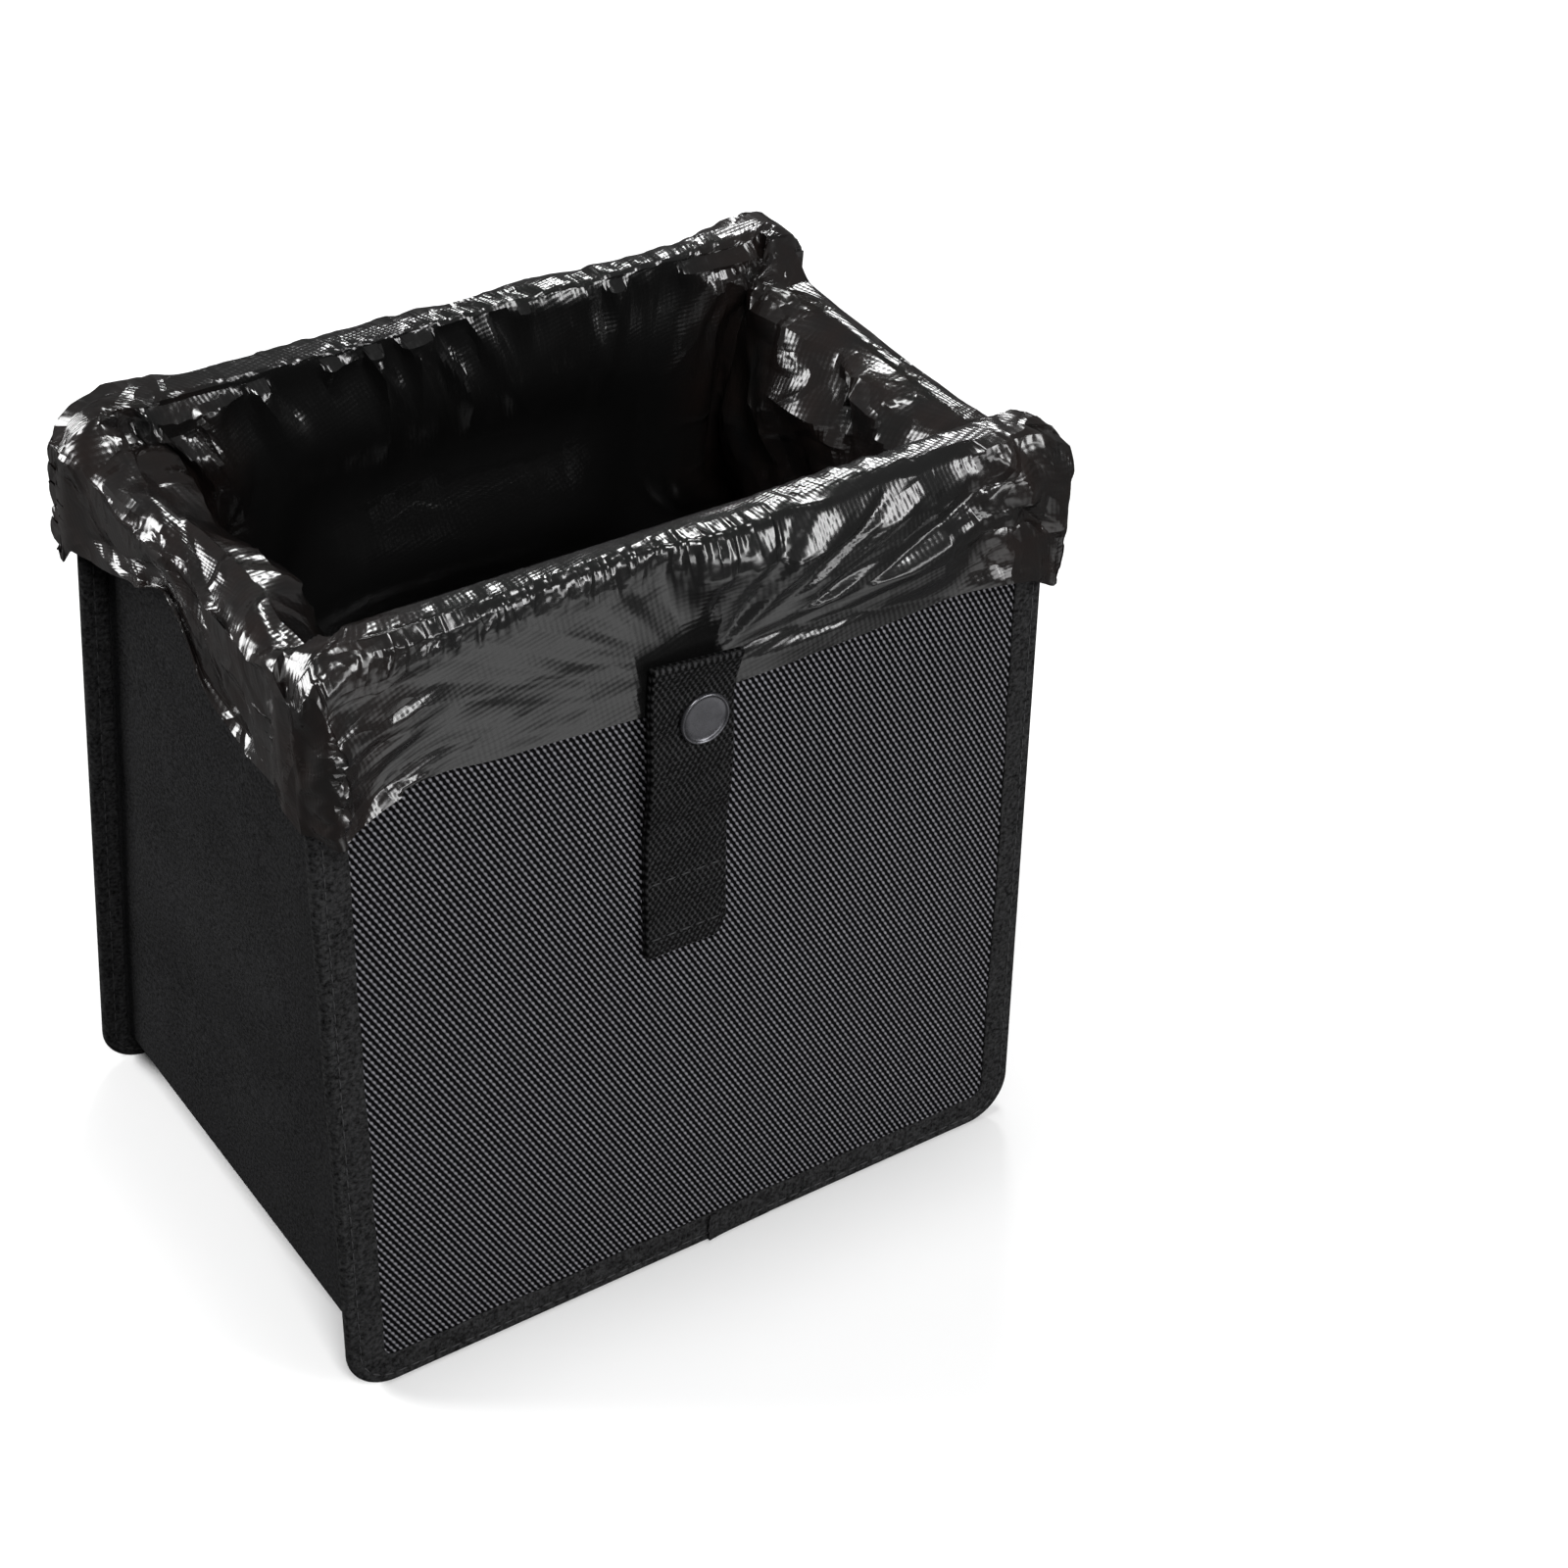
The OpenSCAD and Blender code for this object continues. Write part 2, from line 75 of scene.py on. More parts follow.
class BinSizes(bpy.types.PropertyGroup):
    """Sizes of the bin, the same as its solids have."""
    width: length("Width", "Width of the two panels", 224)
    depth: length("Depth", "Depth over both panels at the floor", 158)
    height: length("Height", "Height of the panels", 236)
    lean: angle("Lean", "Inward lean of each panel", 4.2)
    corner: length("Corner radius", "Radius of the panel corners", 14)
    facing: length("Facing", "Thickness of the woven facing", 0.6)
    board: length("Board", "Thickness of the stiff board", 1.2)
    lining: length("Lining", "Thickness of the lining", 0.4)
    gusset: length("Gusset cloth", "Thickness of the gusset cloth", 0.6)
    flange: length("Flange", "How far the panel edges stand out beyond the gusset", 7.5)
    side_drop: length("Side drop", "How far the side rims sit below the panel tops", 13)
    tape: length("Tape thickness", "Thickness of the binding tape", 0.6)
    tape_leaf: length("Tape leaf", "Width of the tape on the outside of a panel", 10)
    rim_leaf: length("Rim tape", "Height of the tape on the side rims", 9)
    press: length("Foot press", "How far the tape is pressed flat where the bin stands", 0.15)
    wall_bow: length("Wall bow", "How far the soft walls curve in at the top", 2.0)


class StrapSizes(bpy.types.PropertyGroup):
    """Sizes of the webbing tab and its press stud."""
    width: length("Width", "Width of the webbing", 25)
    web: length("Webbing", "Thickness of one layer", 1.5)
    length: length("Length", "Length of the tab", 92)
    drop: length("Drop", "Distance from the panel top to the tab's top", 33)
    place: length("Place", "Sideways place of the tab", -5)
    lift: length("Lift", "How far the tab stands off at the press stud", 2.6)
    flare: length("Flare", "How far the bunched film pushes the top out", 3.2)
    rib: length("Rib", "Distance from one rib of the webbing to the next", 1.55)
    cap: length("Cap", "Diameter of the press stud's cap", 15)
    cap_place: length("Cap place", "Sideways place of the press stud on the tab", 3)
    cap_drop: length("Cap drop", "Distance from the tab's top to the press stud", 19)


class StitchSizes(bpy.types.PropertyGroup):
    """The sewing of the tape."""
    pitch: length("Pitch", "Distance from one stitch to the next", 4.2)
    stitch: length("Stitch", "Length of one stitch", 3.3)
    thread: length("Thread", "Thickness of the thread", 0.45)
    inset: length("Inset", "Distance of the row from the panel edge", 3.4)
    sides: IntProperty(name="Sides", description="Sides of the thread's section", default=6, min=4, max=12)


class FilmSizes(bpy.types.PropertyGroup):
    """The liner bag and how much film is gathered in it."""
    thickness: length("Film", "Thickness of the film", 0.4)
    cuff: length("Cuff", "How far the cuff hangs below the panel top", 47)
    clear: length("Clearance", "Distance of the film from what it lies on", 0.7)
    gather: FloatProperty(name="Gather", description="Spare film round the mouth", default=0.10, subtype="FACTOR")
    slack: FloatProperty(name="Slack", description="Spare film from the rim downwards", default=0.03, subtype="FACTOR")
    seed: IntProperty(name="Seed", description="Seed of the folds", default=4)
    emboss: length("Emboss", "Distance from one embossed dot to the next", 1.9)


class Finishes(bpy.types.PropertyGroup):
    """Colours of the cloths, the metal and the film."""
    weave: shade("Weave", "Raised threads of the woven facing", (0.226, 0.223, 0.243))
    ground: shade("Ground", "Gaps between the threads of the facing", (0.0035, 0.0035, 0.004))
    tape: shade("Tape", "Binding tape", (0.0115, 0.0115, 0.0118))
    cloth: shade("Gusset", "Gusset cloth", (0.0088, 0.0088, 0.0092))
    lining: shade("Lining", "Lining cloth", (0.02, 0.02, 0.021))
    board: shade("Board", "Stiff sheet in the panels", (0.05, 0.05, 0.05))
    webbing: shade("Webbing", "Webbing tab", (0.016, 0.016, 0.0165))
    thread: shade("Thread", "Sewing thread", (0.02, 0.02, 0.021))
    metal: shade("Metal", "Press stud", (0.085, 0.085, 0.092))
    film: shade("Film", "Liner film", (0.006, 0.006, 0.006))
    floor: shade("Floor", "Floor under the bin", (0.93, 0.93, 0.93))


class ViewSizes(bpy.types.PropertyGroup):
    """The camera, found from the outlines of the panels in the picture."""
    azimuth: angle("Azimuth", "Turn of the camera round the bin", -36.976)
    elevation: angle("Elevation", "Height of the camera above the horizon", 37.465)
    roll: angle("Roll", "Turn of the picture", 4.197)
    distance: length("Distance", "Distance from the aimed point", 974.8)
    aim: FloatVectorProperty(name="Aim", description="Point in the middle of the picture", default=(0.0782, 0, 0.085),
                             subtype="TRANSLATION")
    focal: FloatProperty(name="Focal length", description="In pixels of the picture", default=3329.9)
    across: IntProperty(name="Across", description="Pixels across the picture", default=1600)


GROUPS = {"sizes": BinSizes, "strap": StrapSizes, "sewing": StitchSizes, "film": FilmSizes, "finish": Finishes,
          "view": ViewSizes}


class TrashBin(bpy.types.PropertyGroup):
    """All the settings of the bin."""
    sizes: PointerProperty(type=BinSizes)
    strap: PointerProperty(type=StrapSizes)
    sewing: PointerProperty(type=StitchSizes)
    film: PointerProperty(type=FilmSizes)
    finish: PointerProperty(type=Finishes)
    view: PointerProperty(type=ViewSizes)


def settings():
    """The bin's settings in the open scene."""
    return bpy.context.scene.trash_bin


def in_mm(group):
    """The lengths of a property group in millimetres; the rest as they are."""
    out = SimpleNamespace()
    for key, prop in group.bl_rna.properties.items():
        if key in ("rna_type", "name"):
            continue
        value = getattr(group, key)
        is_length = prop.type == "FLOAT" and prop.unit == "LENGTH" and not prop.is_array
        setattr(out, key, value * 1000 if is_length else value)
    return out


TURN = 2 * math.pi
CELLS = 64  # Noise and facets repeat after this many units.


# Curves

def rise(v, start, run):
    """0 up to start, then growing to 1 over the given run."""
    return np.clip((v - start) / run, 0, 1)


def bell(v, middle, size):
    """1 in the middle, fading on both sides."""
    return np.exp(-((v - middle) / size) ** 2)


# Places on the bin, in millimetres

class Bin:
    """The bin's own shape: where its panels, walls and rims are."""

    def __init__(self):
        given = settings()
        s = self.s = in_mm(given.sizes)
        self.strap, self.sewing, self.film = in_mm(given.strap), in_mm(given.sewing), in_mm(given.film)
        self.panel_t = 2 * s.tape + s.facing + s.board + s.lining + s.gusset
        self.nose = self.panel_t / 2
        self.foot = self.nose * (1 - math.cos(s.lean) + math.sin(s.lean)) - s.press
        self.panel_h = self.nose + (s.height - self.nose + self.nose * math.sin(s.lean) - self.foot) / math.cos(s.lean)
        self.gusset_x = s.width / 2 - s.flange
        self.gusset_top = s.height - s.side_drop
        self.seam = s.tape + s.facing + s.board + s.lining
        self.rim_z = self.gusset_top + s.gusset / 2 + s.tape

    def face_y(self, z, c):
        """Distance of a panel's plane from the middle, c in from its outer face, at height z."""
        s = self.s
        return s.depth / 2 - (z - self.foot) * math.tan(s.lean) - c / math.cos(s.lean)

    def on_panel(self, p, back=False):
        """Points given as across, up the panel and out of its face, in the bin's frame."""
        s = self.s
        x, up, out = np.moveaxis(np.asarray(p, float), -1, 0)
        c, n = math.cos(s.lean), math.sin(s.lean)
        y = -s.depth / 2 + up * n - out * c
        z = self.foot + up * c + out * n
        return np.stack([-x, -y, z] if back else [x, y, z], -1)

    def panel_top(self, x, spread):
        """Height of a panel's upper edge, lower towards its rounded corners."""
        s = self.s
        d = np.clip(np.abs(x) - s.width / 2 + s.corner - spread, 0, s.corner)
        return s.height - s.corner + np.sqrt(s.corner ** 2 - d ** 2)

    def ramp(self, y, near=13.0, run=11.0):
        """0 over the side rims, rising to 1 close to the panels."""
        return np.clip((np.abs(y) - self.face_y(self.s.height, self.panel_t) + near) / run, 0, 1)

    def rest_z(self, x, y):
        """Height of what the film lies over: the panel tops, with a ramp down to the side rims."""
        return self.rim_z + np.maximum(self.panel_top(x, 2.0) - self.rim_z, 0) * self.ramp(y)

    def bow(self, y, z):
        """How far a soft wall curves in."""
        across = 1 - np.clip(np.abs(y) / self.face_y(z, self.panel_t), 0, 1) ** 2
        return self.s.wall_bow * across * rise(z, 20, self.gusset_top - 20) ** 1.5


def loop_path(bin_, step=2.5, turn=14):
    """Round the panel's edge, anticlockwise from the middle of the bottom: points, ways in, length so far."""
    s = bin_.s
    hx, hy, r = s.width / 2 - s.corner, bin_.panel_h / 2 - s.corner, s.corner
    pts, way = [], []

    def run(a, b, inward):
        n = max(2, int(np.hypot(*(b - a)) / step))
        for i in range(n):
            pts.append(a + (b - a) * i / n)
            way.append(inward)

    def bend(centre, start):
        for i in range(turn):
            t = math.radians(start + 90 * i / turn)
            d = np.array([math.cos(t), math.sin(t)])
            pts.append(centre + d * r)
            way.append(-d)

    mid = bin_.panel_h / 2
    wide, low, high = s.width / 2, mid - hy, mid + hy
    for a, b, inward, centre, start in (((0, 0), (hx, 0), (0, 1), (hx, low), -90),
                                        ((wide, low), (wide, high), (-1, 0), (hx, high), 0),
                                        ((hx, 2 * mid), (-hx, 2 * mid), (0, -1), (-hx, high), 90),
                                        ((-wide, high), (-wide, low), (1, 0), (-hx, low), 180),
                                        ((-hx, 0), (0, 0), (0, 1), None, 0)):
        run(np.array(a, float), np.array(b, float), np.array(inward, float))
        if centre:
            bend(np.array(centre, float), start)
    pts, way = np.array(pts), np.array(way)
    gaps = np.hypot(*(np.roll(pts, -1, 0) - pts).T)
    return pts, way, np.concatenate([[0], np.cumsum(gaps)])


def noise1(t, seed, period, count=5):
    """A smooth closed random wave of t with the given period, about -1 to 1."""
    rng = np.random.default_rng(seed)
    out = np.zeros_like(t, dtype=float)
    for i in range(count):
        out += rng.normal() * np.sin(2 * np.pi * (i + 1) * t / period + rng.uniform(0, 6.28)) / (i + 1) ** 0.5
    return out / 1.6


def noise2(u, v, seed, size, count=14):
    """Smooth random bumps of about the given size over u and v, about -1 to 1."""
    rng = np.random.default_rng(seed)
    out = np.zeros(np.broadcast(u, v).shape)
    for _ in range(count):
        k, turn = rng.uniform(0.6, 1.5) * 2 * np.pi / size, rng.uniform(0, TURN)
        out += np.sin(k * (u * np.cos(turn) + v * np.sin(turn)) + rng.uniform(0, 6.28))
    return out / (count / 2) ** 0.5 / 1.6


def perlin(u, v, seed):
    """Smooth noise of u and v, about -1 to 1, with bumps about one unit across."""
    turn = np.random.default_rng(seed).uniform(0, TURN, (CELLS, CELLS))
    u, v = np.broadcast_arrays(u, v)
    i, j = np.floor(u).astype(int), np.floor(v).astype(int)
    a, b = u - i, v - j

    def corner(di, dj):
        t = turn[(i + di) % CELLS, (j + dj) % CELLS]
        return np.cos(t) * (a - di) + np.sin(t) * (b - dj)
    fa, fb = (x ** 3 * (x * (x * 6 - 15) + 10) for x in (a, b))
    low = corner(0, 0) * (1 - fa) + corner(1, 0) * fa
    high = corner(0, 1) * (1 - fa) + corner(1, 1) * fa
    return (low * (1 - fb) + high * fb) * 1.5


def facets(u, v, seed, bend=0.3):
    """Flat triangles with sharp edges, each about one unit across: heights from -1 to 1."""
    rng = np.random.default_rng(seed)
    tall, turned = rng.uniform(-1, 1, (CELLS, CELLS)), rng.random((CELLS, CELLS)) < 0.5
    u, v = np.broadcast_arrays(u + 0.0, v + 0.0)
    u, v = u + bend * perlin(u * 0.8, v * 0.8, seed + 40), v + bend * perlin(u * 0.8, v * 0.8, seed + 41)
    i, j = np.floor(u).astype(int), np.floor(v).astype(int)
    a, b = u - i, v - j
    flip = turned[i % CELLS, j % CELLS]

    def at(di, dj):
        return tall[(i + np.where(flip, 1 - di, di)) % CELLS, (j + dj) % CELLS]
    a = np.where(flip, 1 - a, a)
    near = at(0, 0) + a * (at(1, 0) - at(0, 0)) + b * (at(0, 1) - at(0, 0))
    far = at(1, 1) + (1 - a) * (at(0, 1) - at(1, 1)) + (1 - b) * (at(1, 0) - at(1, 1))
    return np.where(a + b < 1, near, far)


def creases(u, v, seed):
    """Long straight facets along v with a few finer ones, from 0 to about 1."""
    return 0.5 + 0.42 * facets(u, v, seed, 0.1) + 0.1 * facets(u * 2.3, v * 1.4, seed + 7, 0.1)


def crumple(u, v, seed, bend=0.3):
    """Large facets with smaller ones on them, from 0 to about 1."""
    fine = facets(u * 2.3 + v * 0.4, v * 2.3 - u * 0.4, seed + 7, bend)
    return 0.5 + 0.4 * facets(u, v, seed, bend) + 0.17 * fine + 0.06 * facets(u * 5.1, v * 5.1 + u, seed + 9, bend)


# Meshes

def put(name, data):
    """A new object in the scene."""
    obj = bpy.data.objects.new(name, data)
    bpy.context.scene.collection.objects.link(obj)
    return obj


def new_object(name, verts, faces, uvs=None):
    """A mesh from points in millimetres; uvs hold two lengths in metres for each corner of each face."""
    mesh = bpy.data.meshes.new(name)
    verts = np.asarray(verts, float) / 1000
    faces = np.asarray(faces, np.int32)
    mesh.vertices.add(len(verts))
    mesh.vertices.foreach_set("co", verts.ravel())
    mesh.loops.add(faces.size)
    mesh.loops.foreach_set("vertex_index", faces.ravel())
    mesh.polygons.add(len(faces))
    mesh.polygons.foreach_set("loop_start", np.arange(0, faces.size, faces.shape[1], dtype=np.int32))
    mesh.polygons.foreach_set("use_smooth", np.ones(len(faces), bool))
    if uvs is not None:
        layer = mesh.uv_layers.new(name="lengths")
        layer.data.foreach_set("uv", np.asarray(uvs, float).ravel())
    mesh.update(calc_edges=True)
    mesh.validate()
    return put(name, mesh)


def plain_object(name, verts, faces):
    """A smooth mesh from points in metres and faces of any number of corners."""
    mesh = bpy.data.meshes.new(name)
    mesh.from_pydata(verts, [], faces)
    mesh.polygons.foreach_set("use_smooth", np.ones(len(mesh.polygons), bool))
    return put(name, mesh)


def grid_normals(p, wrap=(False, False)):
    """Unit normals of a grid of points; wrap says whether the rows and the columns close."""
    def slope(axis):
        if wrap[axis]:
            return np.roll(p, -1, axis) - np.roll(p, 1, axis)
        return np.gradient(p, axis=axis)
    n = np.cross(slope(1), slope(0))
    return n / np.maximum(np.linalg.norm(n, axis=-1, keepdims=True), 1e-9)


def numbers(rows, cols, start=0):
    """The vertex numbers of a grid."""
    return start + np.arange(rows * cols).reshape(rows, cols)


def quads(index, wrap):
    """The faces of a grid of vertex numbers, with the row and the column of each corner."""
    rows, cols = index.shape
    i = np.arange(rows if wrap[0] else rows - 1)[:, None]
    j = np.arange(cols if wrap[1] else cols - 1)[None, :]
    i1, j1 = (i + 1) % rows, (j + 1) % cols
    ways = ((index[i, j], index[i, j1], index[i1, j1], index[i1, j]), (i, i, i + 1, i + 1), (j, j + 1, j + 1, j))
    return [np.stack([a + 0 * (i + j) for a in way], -1).reshape(-1, 4) for way in ways]


def grid_uv(p):
    """Two lengths in metres, along the rows and up the columns."""
    along, up = (np.linalg.norm(np.diff(p, axis=axis), axis=-1).mean(1 - axis) for axis in (1, 0))
    u, v = (np.concatenate([[0], np.cumsum(d)]) / 1000 for d in (along, up))
    return np.stack(np.meshgrid(u, v), -1)


def shell(name, p, t, uv=None, normals=None):
    """A closed sheet of thickness t round the middle surface p."""
    rows, cols = p.shape[:2]
    n = grid_normals(p) if normals is None else normals
    uv = grid_uv(p) if uv is None else uv
    index = numbers(rows, cols)
    m = rows * cols
    q, r, c = quads(index, (False, False))
    faces, rr, cc = [q, q[:, ::-1] + m], [r, r[:, ::-1]], [c, c[:, ::-1]]

    def edge(a, ra, ca, turn):
        for found, on, under in ((faces, a, a + m), (rr, ra, ra), (cc, ca, ca)):
            ring = np.stack([on[1:], on[:-1], under[:-1], under[1:]], -1)
            found.append(ring[:, ::-1] if turn else ring)

    k = np.arange(cols)
    for i, turn in ((0, False), (rows - 1, True)):
        edge(index[i], np.full(cols, i), k, turn)
    k = np.arange(rows)
    for j, turn in ((0, True), (cols - 1, False)):
        edge(index[:, j], k, np.full(rows, j), turn)
    faces, rr, cc = (np.concatenate(a) for a in (faces, rr, cc))
    verts = np.concatenate([(p + n * t / 2).reshape(-1, 3), (p - n * t / 2).reshape(-1, 3)])
    return new_object(name, verts, faces, uv[rr, cc])


# Materials

def add_node(tree, kind, made=None, values=None):
    """Adds a node: its settings first, then the values of its sockets or the sockets that feed them."""
    n = tree.nodes.new(kind)
    for key, value in (made or {}).items():
        setattr(n, key, value)
    for key, value in (values or {}).items():
        socket = n.inputs[key]
        if isinstance(value, bpy.types.NodeSocket):
            tree.links.new(value, socket)
        else:
            socket.default_value = (*value, 1) if socket.type == "RGBA" else value
    return n


class Wire:
    """An output in a material; arithmetic on it adds Math nodes."""

    def __init__(self, paint, socket):
        self.paint, self.socket = paint, socket

    def math(self, operation, *values):
        return self.paint.node("Math", {"operation": operation}, dict(enumerate(values)))

    def __add__(self, other):
        return self.math("ADD", self, other)

    def __sub__(self, other):
        return self.math("SUBTRACT", self, other)

    def __mul__(self, other):
        return self.math("MULTIPLY", self, other)

    def __pow__(self, other):
        return self.math("POWER", self, other)

    def __radd__(self, other):
        return self.math("ADD", other, self)

    def __rsub__(self, other):
        return self.math("SUBTRACT", other, self)

    def cos(self):
        return self.math("COSINE", self)

    def abs(self):
        return self.math("ABSOLUTE", self)

    def clamp(self, low=0.0, high=1.0):
        return self.math("MINIMUM", self.math("MAXIMUM", self, low), high)


class Paint:
    """A material under construction."""

    def __init__(self, name):
        self.material = bpy.data.materials.new(name)
        self.material.use_nodes = True
        self.tree = self.material.node_tree
        self.tree.nodes.clear()

    def node(self, kind, made=None, values=None, out=0):
        """Adds a shader node, with wires or values for its sockets, and gives one of its outputs."""
        values = {key: value.socket if isinstance(value, Wire) else value for key, value in (values or {}).items()}
        n = add_node(self.tree, "ShaderNode" + kind, made, values)
        return Wire(self, n.outputs[out]) if len(n.outputs) else None

    def lengths(self):
        """The piece's own two lengths, in millimetres."""
        uv = self.node("UVMap", {"uv_map": "lengths"})
        return tuple(self.node("SeparateXYZ", values={0: uv}, out=i) * 1000 for i in (0, 1))

    def place(self):
        """Places in the object's own frame, in metres."""
        return self.node("TexCoord", out=3)

    def grain(self, size, detail=3.0, rough=0.55, seed=0.0):
        """Noise from 0 to 1 with bumps of the given size in millimetres."""
        where = self.node("VectorMath", {"operation": "ADD"}, {0: self.place(), 1: (seed, seed * 0.7, 0)})
        return self.node("TexNoise", values={"Vector": where, "Scale": 1000 / size, "Detail": detail, "Roughness": rough})

    def mix(self, factor, a, b):
        """A colour between a and b."""
        return self.node("Mix", {"data_type": "RGBA"}, {0: factor, 6: a, 7: b}, out=2)

    def bump(self, height, depth_mm, strength=1.0, normal=None):
        """A normal from a height of 0 to 1 that stands for the given depth."""
        values = {"Height": height, "Distance": depth_mm / 1000, "Strength": strength}
        if normal:
            values["Normal"] = normal
        return self.node("Bump", values=values)

    def finish(self, **sockets):
        """Ends the material with its surface; the names of sockets have _ for a space."""
        values = {key.replace("_", " "): value for key, value in sockets.items()}
        bsdf = self.node("BsdfPrincipled", values=values)
        self.node("OutputMaterial", values={0: bsdf})
        return self.material


def tint(colour, k):
    """A colour k times as bright."""
    return tuple(c * k for c in colour)


def woven_material(name, f):
    """Hexagonal dots of a coarse weave, one slanting set of rows stronger than the others."""
    p = Paint(name)
    x, y = p.lengths()
    drift = p.grain(22, 2)
    strong = ((x * 0.555 + y * 0.322) * TURN + drift * 1.2).cos()
    second = ((x * 0.498 - y * 0.295) * TURN).cos()
    third = ((x * 0.058 + y * 0.617) * TURN).cos()
    dots = (0.5 + strong * 0.34 + second * 0.08 + third * 0.11).clamp()
    thread = p.grain(0.35, 2, 0.6)
    uneven = p.grain(3.5, 3, seed=0.2)
    cover = ((dots - 0.5) * (1.6 + thread * 1.0)).clamp() ** 1.3
    pale = p.mix(uneven * 0.7, f.weave, tint(f.weave, 0.55))
    colour = p.mix((cover * 1.3).clamp(), tint(f.ground, 0.5), pale)
    fine = p.bump(thread, 0.08, 0.4)
    normal = p.bump(dots, 0.35, 0.8, fine)
    return p.finish(Base_Color=colour, Roughness=0.62 + (1 - dots) * 0.25, Normal=normal, Specular_IOR_Level=0.04)


def tape_material(name, f):
    """Matte tape with fine ribs across it and a little fluff."""
    p = Paint(name)
    _, y = p.lengths()
    rib = (y * (TURN / 0.95)).cos() * 0.5 + 0.5
    fluff = p.grain(1.1, 4, 0.65)
    patch = p.grain(9, 3, seed=0.4)
    colour = p.mix((fluff * 2.8 - 1.1 + patch * 0.4).clamp(), tint(f.tape, 0.12), tint(f.tape, 2.7))
    normal = p.bump(rib * 0.35 + fluff, 0.16, 0.75)
    return p.finish(Base_Color=colour, Roughness=0.86 - fluff * 0.12, Normal=normal, Specular_IOR_Level=0.05)


def cloth_material(name, colour, grain_mm=0.9, depth=0.22):
    """Grainy matte cloth with a fine pebbled face."""
    p = Paint(name)
    pebble = p.grain(grain_mm, 3, 0.6)
    fine = p.grain(grain_mm * 0.35, 2, 0.6, seed=0.3)
    patch = p.grain(30, 3, seed=0.6)
    tone = (pebble * 2.2 + fine * 1.2 + patch * 0.4 - 1.5).clamp()
    mixed = p.mix(tone, tint(colour, 0.25), tint(colour, 2.9))
    normal = p.bump(pebble * 0.7 + fine * 0.3, depth, 0.7)
    return p.finish(Base_Color=mixed, Roughness=0.8 - pebble * 0.15, Normal=normal, Specular_IOR_Level=0.06)


def webbing_material(name, f):
    """Coarse webbing: the ribs are in the mesh, the single threads are here."""
    p = Paint(name)
    x, y = p.lengths()
    drift = p.grain(3.0, 2, seed=0.2) * 1.6
    strand = (x * (TURN / 1.75) + drift).cos() * (y * (TURN / 2.8) + drift * 1.4).cos() * 0.5 + 0.5
    fluff = p.grain(0.45, 4, 0.65)
    rib = (y * (TURN / in_mm(settings().strap).rib)).cos() * 0.5 + 0.5
    tone = (strand * 1.3 + fluff * 2.2 + rib * 0.3 - 1.7).clamp()
    colour = p.mix(tone, tint(f.webbing, 0.02), tint(f.webbing, 2.3))
    normal = p.bump(strand * 0.9 + fluff * 0.5, 0.2, 0.8)
    return p.finish(Base_Color=colour, Roughness=0.72 - fluff * 0.1, Normal=normal, Specular_IOR_Level=0.06)


def thread_material(name, f):
    """Twisted sewing thread."""
    p = Paint(name)
    twist = p.grain(0.25, 2)
    colour = p.mix(twist, tint(f.thread, 0.6), tint(f.thread, 1.8))
    return p.finish(Base_Color=colour, Roughness=0.6 + twist * 0.15, Normal=p.bump(twist, 0.05, 0.6),
                    Specular_IOR_Level=0.4)


def metal_material(name, f):
    """Dark lacquered metal with a faint brushed tone and small rubs."""
    p = Paint(name)
    cloud = p.grain(2.2, 4)
    speck = p.grain(0.35, 3, seed=0.5)
    colour = p.mix(cloud, tint(f.metal, 0.75), tint(f.metal, 1.35))
    rough = 0.2 + cloud * 0.1 + speck * 0.05
    return p.finish(Base_Color=colour, Roughness=rough, Metallic=0.85, Normal=p.bump(speck, 0.02, 0.4),
                    Specular_IOR_Level=0.5)


def film_material(name, f):
    """Thin black film: embossed dots, small creases, and tight gathers close to the rim."""
    film = in_mm(settings().film)
    p = Paint(name)
    x, y = p.lengths()
    turn = TURN / film.emboss
    dots = ((x * 0.87 + y * 0.5) * turn).cos() * ((x * 0.5 - y * 0.87) * turn).cos()
    uv = p.node("UVMap", {"uv_map": "lengths"})
    stretched = p.node("Mapping", values={0: uv, 3: (1.0, 0.3, 1.0)})
    pucker = p.node("TexNoise", values={"Vector": stretched, "Scale": 200.0, "Detail": 1.0, "Roughness": 0.5,
                                        "Distortion": 0.5})
    ridge = (1 - (pucker - 0.5).abs() * 5).clamp()
    crease = p.node("TexNoise", values={"Vector": p.place(), "Scale": 42.0, "Detail": 1.5, "Roughness": 0.5,
                                        "Distortion": 0.3})
    fold = (1 - (crease - 0.5).abs() * 14).clamp()
    soft = p.node("TexNoise", values={"Vector": p.place(), "Scale": 55.0, "Detail": 1.0, "Roughness": 0.4})
    near_rim = p.node("Attribute", {"attribute_name": "near_rim"}, out=2)
    loose = p.node("Attribute", {"attribute_name": "loose"}, out=2)
    height = dots * 0.03 + fold * (loose * 0.7 + 0.1) + soft * 0.3 + ridge * near_rim * 0.8
    normal = p.bump(height, 1.0, 0.7)
    warm = (p.grain(14, 3) * 1.8 - 0.5).clamp() * loose
    colour = p.mix(warm, f.film, (0.0115, 0.0072, 0.0062))
    rough = 0.13 + p.grain(6, 3, seed=0.8) * 0.12 + dots * 0.02
    return p.finish(Base_Color=colour, Roughness=rough, Normal=normal, Specular_IOR_Level=0.6)


def board_material(name, f):
    """Plain stiff sheet."""
    p = Paint(name)
    cloud = p.grain(5, 4)
    colour = p.mix(cloud, tint(f.board, 0.8), tint(f.board, 1.25))
    return p.finish(Base_Color=colour, Roughness=0.55 + cloud * 0.1, Normal=p.bump(cloud, 0.05, 0.4))


